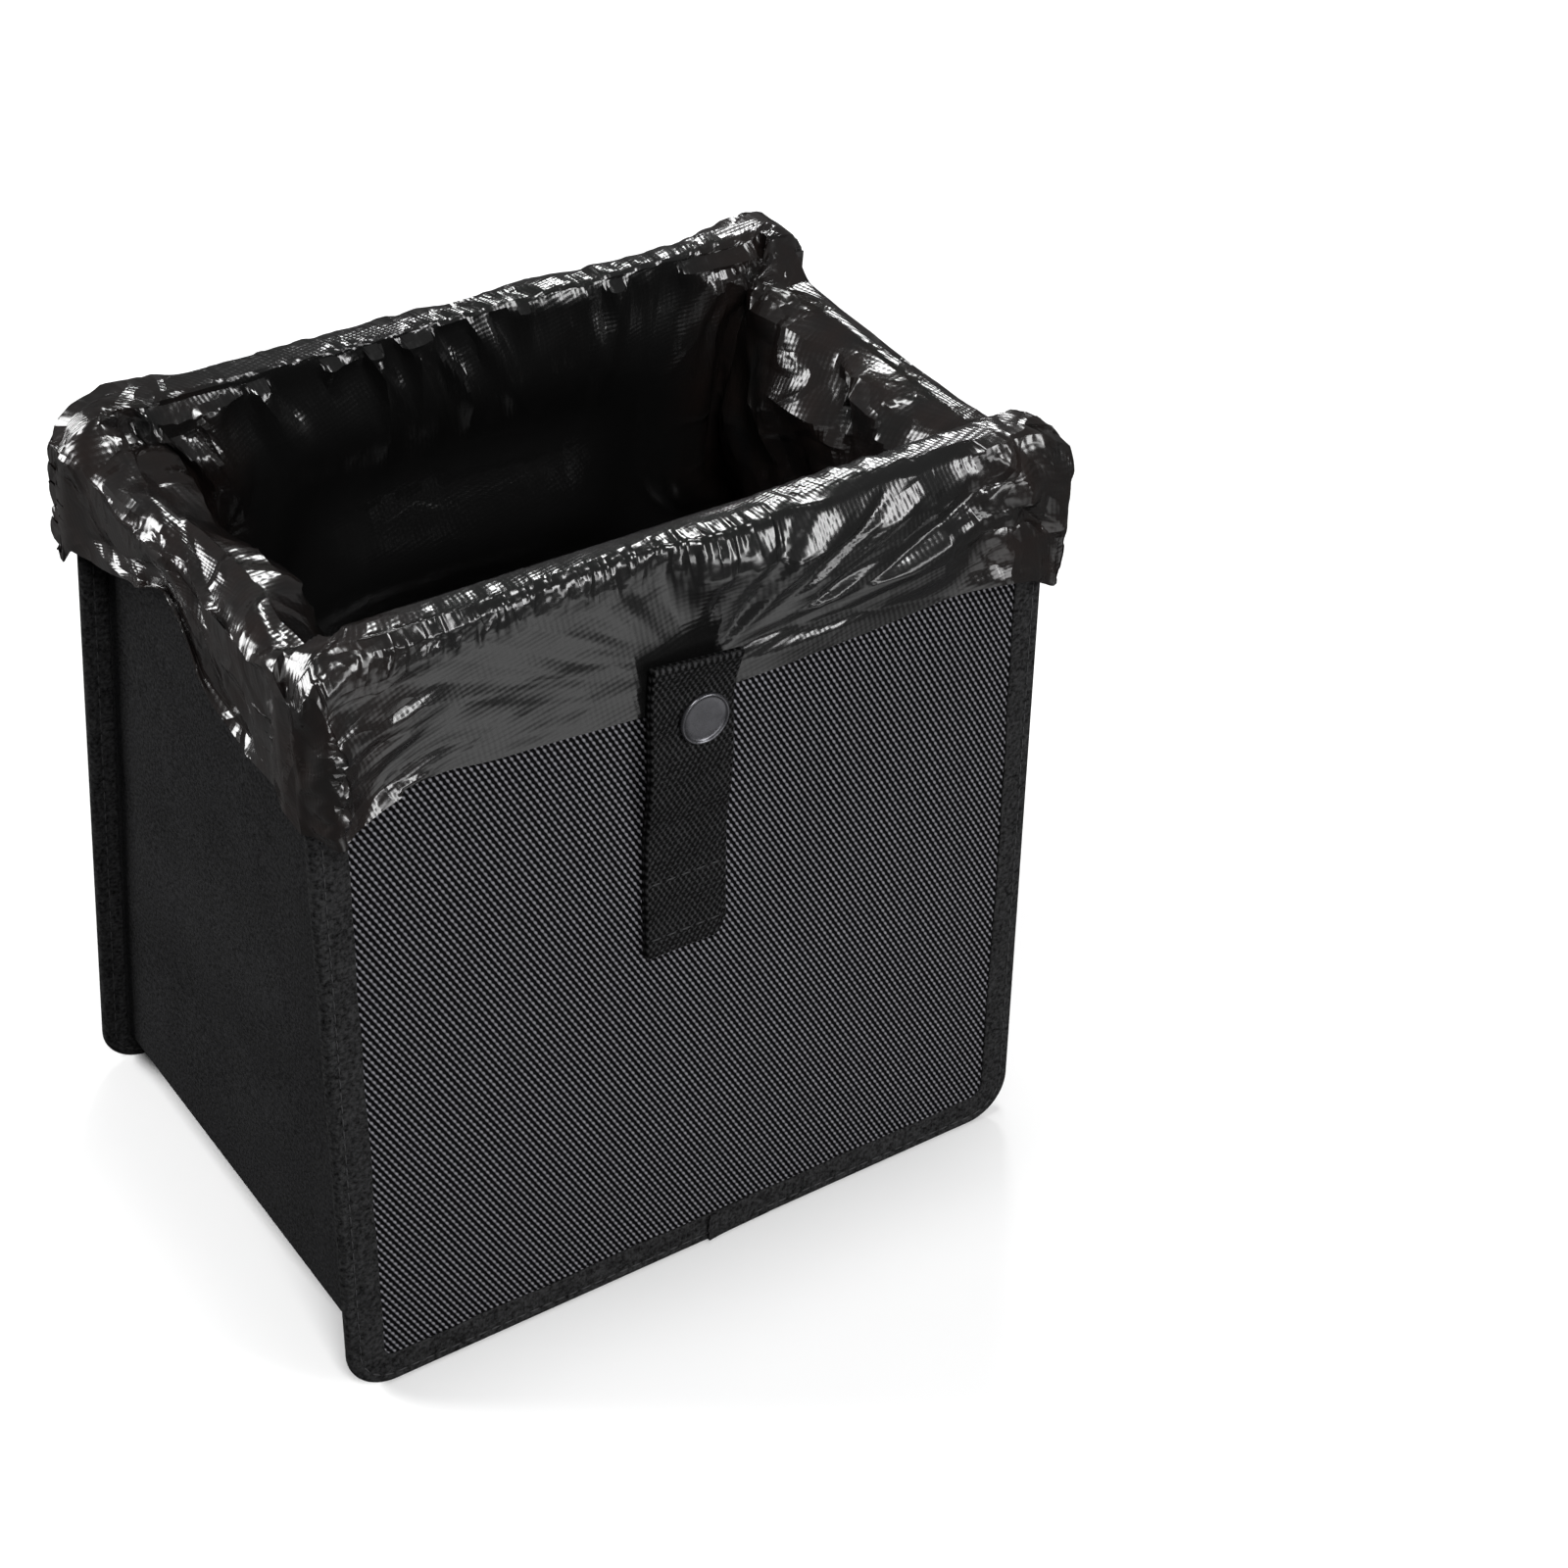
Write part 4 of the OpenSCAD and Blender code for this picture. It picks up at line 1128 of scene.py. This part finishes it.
    def crown(self):
        """Extra height of the film over the left rim, where it is bunched up."""
        x, y = self.top.T
        return (7 * bell(y, 26, 15) + 2.5 * bell(y, -30, 14)) * ((x < 0) & ~self.ends)

    def start(self):
        """The film before it settles: clear of the bin, with its big folds laid in."""
        b, s = self.bin, self.bin.s
        ax = b.gusset_x - s.gusset - s.tape - 1.5
        z0 = s.flange + s.gusset + 2 + 0.6
        rows = []
        for k in range(self.low):
            part = 0.35 + 0.65 * k / self.low
            p = self.plan(ax - 5, b.face_y(z0, b.panel_t + 5), 16)
            rows.append(np.column_stack([p * part, np.full(len(p), z0)]))
        mouth = self.plan(ax, b.face_y(s.height, b.panel_t + 1.2), 9)
        top = b.rest_z(mouth[:, 0], mouth[:, 1]) - 1.0
        for t in np.linspace(0, 1, self.wall):
            z = top - (top - z0 - 3) * (1 - t) ** 1.35
            p = self.plan(ax, b.face_y(s.height, b.panel_t + 1.4), 9 + 2 * (1 - t))
            p[:, 1] *= b.face_y(z, b.panel_t + 1.4) / b.face_y(s.height, b.panel_t + 1.4)
            # Slack film slopes in from the side rims before it hangs down.
            slack = 13 * (1 - np.exp((z - top) / 13)) * np.exp((z - top) / 60) * (1 - (np.abs(p[:, 1]) / 72) ** 4)
            p[:, 0] -= np.sign(p[:, 0]) * slack * ~self.ends
            rows.append(np.column_stack([p, z]))
        lift = self.crown()
        outer = self.top.copy()
        outer[:, 0] -= self.inset(outer, s.height)
        for k in range(self.over):
            t = (k + 0.5) / self.over
            p = mouth + (outer - mouth) * t
            # Tight and round over the panels, a sharper ridge nearer the outside over the side rims.
            arch = np.where(self.ends, math.sqrt(1 - (2 * t - 1) ** 2), min(t / 0.72, (1 - t) / 0.28) ** 0.85)
            rows.append(np.column_stack([p, b.rest_z(p[:, 0], p[:, 1]) + 0.6 + (0.7 + lift) * arch]))
        crown = rows[-1][:, 2] - 0.8
        low = self.edge()
        for k in range(1, self.hang + 1):
            z = crown + (low - crown) * k / self.hang
            rows.append(np.column_stack([self.outside(z, crown - z), z]))
        return np.array(rows)

    def inset(self, p, z):
        """How far the side walls stand back from the panels' edges: the film follows the right one closely."""
        b = self.bin
        part = np.clip(np.abs(p[:, 1]) / b.face_y(z, b.panel_t + 2), 0, 1)
        back = np.where(p[:, 0] > 0, 1 - part ** 9, 0.85 * (1 - part ** 4))
        return np.sign(p[:, 0]) * (b.s.flange - 0.6) * back * ~self.ends

    def outside(self, z, down):
        """Places of the cuff at height z."""
        b, s = self.bin, self.bin.s
        p = self.top.copy()
        reach = b.face_y(s.height, -1)
        part = np.clip(np.abs(p[:, 1]) / reach, 0, 1)
        p[:, 1] += np.sign(p[:, 1]) * (b.face_y(z, -1) - reach + self.lumps(p[:, 0], p[:, 1]) * self.ends) * part
        p[:, 0] -= self.inset(p, z)
        # Corners that stand out: the back left flap and the bunch at the front right.
        flap = 4 * np.exp(-((p[:, 1] - 50) / 22) ** 2) * (p[:, 0] < 0) * ~self.ends
        flap += 1.5 * np.exp(-((p[:, 1] + 58) / 12) ** 2) * (p[:, 0] > 0)
        p[:, 0] += np.sign(p[:, 0]) * flap * np.clip(down / 10, 0, 1)
        return p

    def spare(self):
        """Spare film along the rows and up the columns for every place of the grid."""
        x, y = self.top.T
        low, w, o, h = self.parts
        t = np.concatenate([np.zeros(low), np.linspace(0, 1, w), np.ones(o), np.linspace(1, 0, h)])[:, None]
        cuff = np.arange(self.rows)[:, None] >= low + w + o
        side = ~self.ends[None]
        corner = rise(np.abs(x), 88, 20)[None]
        gather = np.where(x < 20, 1.0, 0.55)[None] * (self.ends & (y < 0))[None] + 0.5 * (self.ends & (y > 0))[None]
        inside = np.where(side, 0.10, 0.025 + 0.05 * corner) * t ** 2
        outside = np.where(side, 0.11, 0.012 + 0.09 * corner + 0.10 * gather * t ** 5)
        f = self.f
        across = np.where(cuff, outside, inside + 0.05 * gather * t ** 30) * f.gather / 0.10
        up = np.where(cuff, 0.01 + 0.05 * corner + 0.05 * side, (0.01 + 0.045 * side) * t) * f.slack / 0.03
        return across, up

    def hold(self, X, far=1.0):
        """Keeps the film out of the bin and within reach of it, and flat under the tab; far widens the reach."""
        b, s, g = self.bin, self.bin.s, self.g
        c = self.f.clear
        w, o = self.low + self.wall, self.low + self.wall + self.over
        ends, right = self.ends[None], self.top[None, :, 0] > 0
        sx, sy = np.sign(self.top.T)[:, None]

        # Inside the bin
        inner = X[self.low:w]
        x, y, z = np.moveaxis(inner, -1, 0)
        rim = b.rest_z(x, y)
        deep = np.maximum(rim - z, 0)
        lim = b.face_y(z, b.panel_t + c)
        y2 = np.clip(y, -lim, lim)
        keep = lim - (1.2 + np.minimum(deep * 0.22, 9)) * far
        y2 = np.where(ends, sy * np.clip(y2 * sy, keep, lim), y2)
        side = b.gusset_x - s.gusset - s.tape - c - b.bow(y2, z)
        x2 = np.clip(x, -side, side)
        keep = side - (2.5 + np.minimum(deep * 0.4, 13)) * far
        x2 = np.where(ends, x2, sx * np.clip(x2 * sx, keep, side))
        inner[..., 0], inner[..., 1] = x2, y2
        inner[..., 2] = np.minimum(z, rim + 6)

        # Over the rims
        cap = X[w:o]
        floor = b.rest_z(cap[..., 0], cap[..., 1]) + c * 0.8
        high = np.where(ends, 1.3, np.where(right, 1.1, (2.5 + self.crown()[None] * 1.2) * far))
        cap[..., 2] = np.clip(cap[..., 2], floor, floor + high)
        inner_y = b.face_y(s.height, b.panel_t + c)
        beyond = rise(np.abs(cap[..., 1]) - inner_y, -4, 4)
        most = b.gusset_x + s.tape + c + 1.4 + (s.flange - s.tape) * beyond
        most = np.where(ends, s.width / 2 + 0.4, most)
        cap[..., 0] = np.where(right, np.minimum(cap[..., 0], most), np.maximum(cap[..., 0], -s.width / 2 - 3))
        out_y, in_y = b.face_y(s.height, -1.9), b.face_y(s.height, b.panel_t + 2.2)
        cap[..., 1] = np.where(ends, sy * np.clip(cap[..., 1] * sy, in_y, out_y), cap[..., 1])

        # The cuff
        cuff = X[o:]
        x, y, z = np.moveaxis(cuff, -1, 0)
        fy = b.face_y(z, -c)
        down = np.maximum(s.height - z, 0)
        hem = (np.arange(self.hang)[:, None] / self.hang) ** 2
        tight = hem * (np.abs(x + 7) < 81)
        reach = 1.3 + 0.1 * down + 4.5 * rise(np.abs(x), 80, 25) + self.lumps(x, y) * 1.15 - 2.6 * tight
        aside = np.abs(x - g.place) - g.width / 2
        from_tab = np.hypot(np.maximum(aside, 0), np.maximum(g.drop - down, 0))
        reach = np.minimum(np.maximum(reach, 0.5), 0.4 + 0.2 * from_tab + 0.02 * down)
        under = (aside < 1.5) & (down > g.drop - 3)
        reach = np.where(under, np.clip(reach, 0.45, 1.4), np.maximum(reach, 0.45) * far * (1 - 0.93 * tight))
        y2 = np.where(ends, sy * np.clip(y * sy, fy, fy + reach), y)
        flange = b.face_y(z, b.panel_t + c)
        near = rise(np.abs(y2) - flange, -9, 9)
        side_lim = b.gusset_x + s.tape + c + 0.4 + (s.flange - s.tape - 0.2) * near
        most = np.where(x > 0, side_lim + 1.6, s.width / 2 + 1.5 + 2.5 * near)
        x2 = np.where(ends, np.clip(x, -s.width / 2 - 3, s.width / 2 + 0.4), sx * np.clip(x * sx, side_lim, most))
        cuff[..., 0], cuff[..., 1] = x2, y2
        cuff[..., 2] = np.minimum(z, b.rest_z(x2, y2) + 1.5)

    def relax(self, X, steps):
        """Film that neither stretches nor shrinks: its spare length buckles it into folds."""
        across, up = self.spare()
        flat_h, flat_v = self.rests(self.begin)
        rest_h = flat_h * (1 + across)
        rest_v = flat_v * (1 + up[:-1])
        rest_a = np.sqrt(rest_h[:-1] ** 2 + rest_v ** 2)
        loose = np.ones((self.rows, 1, 1))
        loose[:self.low + 1] = 0
        # Points 1, 2 and 4 apart: the share of the film's length that they keep, and how firmly.
        keep = ((1, 1.0, 0.5), (2, 0.94, 0.3), (4, 0.88, 0.1))
        weight_down = 0.01
        for _ in range(steps):
            move = np.zeros_like(X)
            for span, part, weight in keep:
                d = np.roll(X, -span, 1) - X
                size = np.sqrt((d * d).sum(-1, keepdims=True)) + 1e-9
                err = size - rest_h[..., None] * span * part
                err = (err if span == 1 else np.minimum(err, 0)) / size
                push = d * err * (weight * 0.5)
                move += push
                move -= np.roll(push, span, 1)
                e = X[span:] - X[:-span]
                size = np.sqrt((e * e).sum(-1, keepdims=True)) + 1e-9
                want = sum(rest_v[i:len(rest_v) - span + 1 + i] for i in range(span))[..., None] * part
                err = size - want
                err = (err if span == 1 else np.minimum(err, 0)) / size
                push = e * err * (weight * 0.5)
                move[:-span] += push
                move[span:] -= push
            for shift in (-1, 1):
                d = np.roll(X, shift, 1)[1:] - X[:-1]
                size = np.sqrt((d * d).sum(-1, keepdims=True)) + 1e-9
                push = d * ((size - rest_a[..., None]) / size * 0.14)
                move[:-1] += push
                move[1:] -= np.roll(push, -shift, 1)
            move[..., 2] -= weight_down
            X += move * loose
            self.hold(X)
        return X

    def rests(self, X):
        """Distances along the rows and up the columns."""
        h = np.linalg.norm(np.roll(X, -1, 1) - X, axis=-1)
        v = np.linalg.norm(X[1:] - X[:-1], axis=-1)
        return h, v

    def shake(self, X, rng, size):
        """Small uneven offsets that let the spare film choose where to buckle."""
        across, _ = self.spare()
        return X + rng.normal(0, size, X.shape) * np.minimum(across[..., None] * 25, 1)

    def refine(self, D, coarse):
        """A coarse grid of offsets on this finer grid, by smooth interpolation."""
        def blend(at, u):
            p0, p1, p2, p3 = at(-1), at(0), at(1), at(2)
            square, cube = 2 * p0 - 5 * p1 + 4 * p2 - p3, 3 * p1 - p0 - 3 * p2 + p3
            return 0.5 * (2 * p1 + (p2 - p0) * u + square * u ** 2 + cube * u ** 3)
        t = np.arange(self.cols) * coarse.cols / self.cols
        i = np.floor(t).astype(int)
        D = blend(lambda k: D[:, (i + k) % coarse.cols], (t - i)[None, :, None])
        starts = np.cumsum([0, *coarse.parts[:-1]])
        t = np.concatenate([a + (np.arange(m) + 0.5) * n / m - 0.5 for a, n, m in zip(starts, coarse.parts, self.parts)])
        t = np.clip(t, 0, coarse.rows - 1)
        i = np.floor(t).astype(int)
        return blend(lambda k: D[np.clip(i + k, 0, coarse.rows - 1)], (t - i)[:, None, None])


def settle(bin_, quick):
    """Broad folds on a coarse grid, then the sharp ones on a fine grid."""
    rng = np.random.default_rng(bin_.film.seed)
    grid = Liner(bin_, 1)
    X = grid.relax(grid.shake(grid.begin, rng, 0.5), 60 if quick else 300)
    D = X - grid.begin
    for _ in range(2):
        D = (2 * D + np.roll(D, 1, 1) + np.roll(D, -1, 1)) / 4
    last = Liner(bin_, 5)
    return last, last.dress(last.begin + last.refine(D, grid))


def film_faces(rows, cols):
    """Triangles of the film's two faces, its hem and its bottom, with the row and column of each corner."""
    r2, c2 = (rows + 1) // 2, cols // 2
    start, middle = rows * cols, rows * cols + r2 * c2
    found = []
    for index, step, turn in ((numbers(rows, cols), 1, True), (numbers(r2, c2, start), 2, False)):
        q, r, c = quads(index, (False, True))
        r, c = np.minimum(r * step, rows - 1), np.minimum(c * step, cols)
        for pick in ([0, 1, 2], [0, 2, 3]):
            pick = pick[::-1] if turn else pick
            found.append((q[:, pick], r[:, pick], c[:, pick]))
    j = np.arange(c2)
    last, hem = (rows - 1) * cols, start + (r2 - 1) * c2
    f0, f1, f2, b0, b1 = last + 2 * j, last + 2 * j + 1, last + (2 * j + 2) % cols, hem + j, hem + (j + 1) % c2
    for tri, c in (((f0, f1, b0), (0, 1, 0)), ((f1, b1, b0), (1, 2, 0)), ((f1, f2, b1), (1, 2, 2))):
        found.append((np.stack(tri, -1)[:, ::-1], np.full((c2, 3), rows - 1), 2 * j[:, None] + np.array(c)[::-1]))
    bottom = np.stack([start + (j + 1) % c2, start + j, np.full(c2, middle + 1)], -1)
    under = (bottom, np.zeros((c2, 3), int), np.stack([2 * j + 2, 2 * j, 2 * j], -1))
    j = np.arange(cols)
    bottom = np.stack([j, (j + 1) % cols, np.full(cols, middle)], -1)
    found += [(bottom, np.zeros((cols, 3), int), np.stack([j, j + 1, j], -1)), under]
    return [np.concatenate(part) for part in zip(*found)]


def mark_film(data, fine):
    """Tells the finish where the film is gathered and loose, and makes the loose film's creases crisp."""
    crown = fine.low + fine.wall + fine.over / 2
    k = np.arange(fine.rows)
    near = np.exp(-(np.clip(np.abs(k - crown - fine.over * 0.9) - 2, 0, 99) / (fine.over * 0.35)) ** 2)
    along = np.where(fine.ends, np.where(fine.top[:, 0] < 20, 1.0, 0.1), 0.4)
    loose = np.where(fine.ends, rise(np.abs(fine.top[:, 0]), 78, 20), 1.0)[None] + np.zeros((fine.rows, 1))

    def on_points(weight):
        return np.concatenate([weight.ravel(), weight[::2, ::2].ravel(), [0, 0]])

    for name, weight in (("near_rim", near[:, None] * along[None]), ("loose", loose)):
        layer = data.attributes.new(name, "FLOAT", "POINT")
        layer.data.foreach_set("value", on_points(weight).astype(np.float32))
    # The tight front and the fan under the tab stay soft; the hem is sharp all round.
    data.set_sharp_from_angle(angle=math.radians(30))
    pairs, crisp = np.empty(2 * len(data.edges), int), np.empty(len(data.edges), bool)
    data.edges.foreach_get("vertices", pairs)
    data.edges.foreach_get("use_edge_sharp", crisp)
    calm = on_points((loose < 0.5) & (fine.top[:, 1] < 0))[pairs].reshape(-1, 2).any(1)
    size = fine.rows * fine.cols
    hem = ((pairs >= size - fine.cols) & (pairs < size)).reshape(-1, 2).all(1)
    data.edges.foreach_set("use_edge_sharp", hem | (crisp & ~calm))


def make_liner(bin_):
    """Settles the film and gives it two faces, the hidden one on every second row and column."""
    fine, Y = settle(bin_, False)
    h, v = fine.rests(fine.begin)
    # The smooth start's own lengths keep the embossing even over the folds.
    u = np.concatenate([[0], np.cumsum(h[fine.low + fine.wall])]) / 1000
    w = np.concatenate([[0], np.cumsum(v.mean(1))]) / 1000
    back = (Y + grid_normals(Y, (False, True)) * fine.f.thickness)[::2, ::2]
    verts = np.concatenate([Y.reshape(-1, 3), back.reshape(-1, 3), Y[0].mean(0)[None], back[0].mean(0)[None]])
    faces, r, c = film_faces(fine.rows, fine.cols)
    obj = new_object("liner_bag_film", verts, faces, np.stack([u[c], w[r]], -1))
    mark_film(obj.data, fine)
    place_piece(obj, "liner_film", "liner_bag")


# The stage

def make_stage():
    """The camera, the floor and the lamps, on a white background."""
    view = settings().view
    scene = bpy.context.scene
    scene.view_settings.view_transform = "Standard"
    camera = scene.camera = put("camera", bpy.data.cameras.new("camera"))
    a, e = view.azimuth, view.elevation
    back = Vector((math.sin(a) * math.cos(e), -math.cos(a) * math.cos(e), math.sin(e)))
    camera.location = Vector(view.aim) + back * view.distance
    camera.rotation_mode = "QUATERNION"
    camera.rotation_quaternion = (-back).to_track_quat("-Z", "Y") @ Quaternion((0, 0, 1), view.roll)
    camera.data.sensor_width = 36
    camera.data.lens = view.focal / view.across * camera.data.sensor_width
    camera.data.clip_start, camera.data.clip_end = 0.01, 30

    p = Paint("trash_bin_floor")
    seen = p.node("LightPath", out=0)
    speck = p.grain(40, 3)
    pale = settings().finish.floor
    bright = p.mix(speck, tint(pale, 0.99), pale)
    # The film mirrors a pale patch in front of the bin; the rest of the floor stays dark in it.
    spot = p.node("VectorMath", {"operation": "DISTANCE"}, {0: p.place(), 1: (0.09, -0.29, 0)}, out=1)
    patch = (1.25 - spot * 7).clamp()
    mirrored = p.mix(patch, tint(pale, 0.07), pale)
    # Far from the bin the floor glows towards the camera and meets the white background without an edge.
    middle = p.node("VectorMath", {"operation": "LENGTH"}, {0: p.place()}, out=1)
    glow = p.mix((middle * 1.6 - 0.75).clamp() * seen, (0.0, 0.0, 0.0), (1.0, 1.0, 1.0))
    p.finish(Base_Color=p.mix(seen, mirrored, bright), Roughness=0.9, Specular_IOR_Level=0.1,
             Emission_Color=glow, Emission_Strength=1.0)
    half, level = 4000, -0.05
    corners = [(x * half, y * half, level) for x, y in ((-1, -1), (1, -1), (1, 1), (-1, 1))]
    floor = new_object("floor", corners, [[0, 1, 2, 3]])
    floor.data.materials.append(p.material)

    for name, place, size, power in (("key_box", (-0.55, -1.35, 1.7), (0.6, 0.5), 27),
                                     ("back_box", (0.95, 1.25, 1.25), (0.28, 0.2), 6),
                                     ("left_strip", (-1.25, 1.15, 0.75), (0.8, 0.9), 38),
                                     ("low_card", (0.3, -1.7, 0.2), (1.1, 0.4), 8),
                                     ("right_strip", (1.0, -1.7, 0.6), (0.35, 1.0), 16),
                                     ("top_box", (0.2, 0.1, 2.2), (0.5, 0.5), 16)):
        data = bpy.data.lights.new(name, "AREA")
        data.shape, data.size, data.size_y, data.energy = "RECTANGLE", *size, power
        lamp = put(name, data)
        lamp.location = place
        lamp.rotation_mode = "QUATERNION"
        lamp.rotation_quaternion = (Vector((0, 0, 0.12)) - Vector(place)).to_track_quat("-Z", "Y")
    world = bpy.data.worlds.new("trash_bin_world")
    scene.world = world
    world.use_nodes = True
    tree = world.node_tree
    tree.nodes.clear()
    # Soft light from all round, and a white background for the camera.
    soft, white = (add_node(tree, "ShaderNodeBackground", values={"Color": (1, 1, 1), "Strength": strength})
                   for strength in (0.16, 1.0))
    path = add_node(tree, "ShaderNodeLightPath")
    mix = add_node(tree, "ShaderNodeMixShader", values={0: path.outputs["Is Camera Ray"], 1: soft.outputs[0],
                                                        2: white.outputs[0]})
    add_node(tree, "ShaderNodeOutputWorld", values={0: mix.outputs[0]})


# Operators

class TRASHBIN_OT_finish_solids(bpy.types.Operator):
    """Gives the boards, linings and inner press stud parts their finishes"""
    bl_idname = "trashbin.finish_solids"
    bl_label = "Finish Solids"

    def execute(self, context):
        for part in frame["record"]["subparts"]:
            mesh = frame["nodes"][part["node"]].data
            mesh.materials.clear()
            mesh.materials.append(material(part["material_slot"]))
        return {"FINISHED"}


class TRASHBIN_OT_facings(bpy.types.Operator):
    """Makes the woven cloth of both panels"""
    bl_idname = "trashbin.facings"
    bl_label = "Woven Facings"

    def execute(self, context):
        for back in (False, True):
            make_facing(Bin(), back)
        return {"FINISHED"}


class TRASHBIN_OT_bindings(bpy.types.Operator):
    """Makes the tape round both panels and over the side rims"""
    bl_idname = "trashbin.bindings"
    bl_label = "Binding Tape"

    def execute(self, context):
        for back in (False, True):
            make_binding(Bin(), back)
        for sign in (-1, 1):
            make_rim_tape(Bin(), sign)
        return {"FINISHED"}


class TRASHBIN_OT_stitches(bpy.types.Operator):
    """Sews the tape and the lower end of the tab"""
    bl_idname = "trashbin.stitches"
    bl_label = "Stitches"

    def execute(self, context):
        for back in (False, True):
            make_stitches(Bin(), back)
        make_strap_stitches(Bin())
        return {"FINISHED"}


class TRASHBIN_OT_gusset(bpy.types.Operator):
    """Makes the soft cloth of the sides and the base"""
    bl_idname = "trashbin.gusset"
    bl_label = "Gusset"

    def execute(self, context):
        make_gusset(Bin())
        return {"FINISHED"}


class TRASHBIN_OT_strap(bpy.types.Operator):
    """Makes the webbing tab"""
    bl_idname = "trashbin.strap"
    bl_label = "Webbing Tab"

    def execute(self, context):
        make_strap(Bin())
        return {"FINISHED"}


class TRASHBIN_OT_cap(bpy.types.Operator):
    """Makes the press stud's cap"""
    bl_idname = "trashbin.cap"
    bl_label = "Press Stud Cap"

    def execute(self, context):
        make_cap(Bin())
        return {"FINISHED"}


class TRASHBIN_OT_liner(bpy.types.Operator):
    """Gathers the liner bag over the rims"""
    bl_idname = "trashbin.liner"
    bl_label = "Liner Bag"

    def execute(self, context):
        make_liner(Bin())
        return {"FINISHED"}


class TRASHBIN_OT_stage(bpy.types.Operator):
    """Sets up the floor, the lamps and the camera"""
    bl_idname = "trashbin.stage"
    bl_label = "Stage"

    def execute(self, context):
        make_stage()
        return {"FINISHED"}


STEPS = (TRASHBIN_OT_stage, TRASHBIN_OT_finish_solids, TRASHBIN_OT_facings, TRASHBIN_OT_bindings, TRASHBIN_OT_stitches,
         TRASHBIN_OT_gusset, TRASHBIN_OT_strap, TRASHBIN_OT_cap, TRASHBIN_OT_liner)


class TRASHBIN_PT_panel(bpy.types.Panel):
    """Settings and steps of the bin"""
    bl_idname = "TRASHBIN_PT_panel"
    bl_label = "Trash Bin"
    bl_space_type = "VIEW_3D"
    bl_region_type = "UI"
    bl_category = "Trash Bin"

    def draw(self, context):
        for step in STEPS:
            self.layout.operator(step.bl_idname)
        for name, group in GROUPS.items():
            box = self.layout.box()
            box.label(text=name.capitalize())
            for key in group.__annotations__:
                box.prop(getattr(context.scene.trash_bin, name), key)


CLASSES = (*GROUPS.values(), TrashBin, *STEPS, TRASHBIN_PT_panel)


def register():
    """Adds the settings, the steps and the panel."""
    for cls in CLASSES:
        bpy.utils.register_class(cls)
    bpy.types.Scene.trash_bin = PointerProperty(type=TrashBin)


def unregister():
    """Takes them away again."""
    del bpy.types.Scene.trash_bin
    for cls in reversed(CLASSES):
        bpy.utils.unregister_class(cls)


def main():
    """Registers the add-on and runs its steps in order."""
    register()
    for step in STEPS:
        group, name = step.bl_idname.split(".")
        getattr(getattr(bpy.ops, group), name)()
    bpy.context.view_layer.update()


if __name__ == "__main__":
    main()
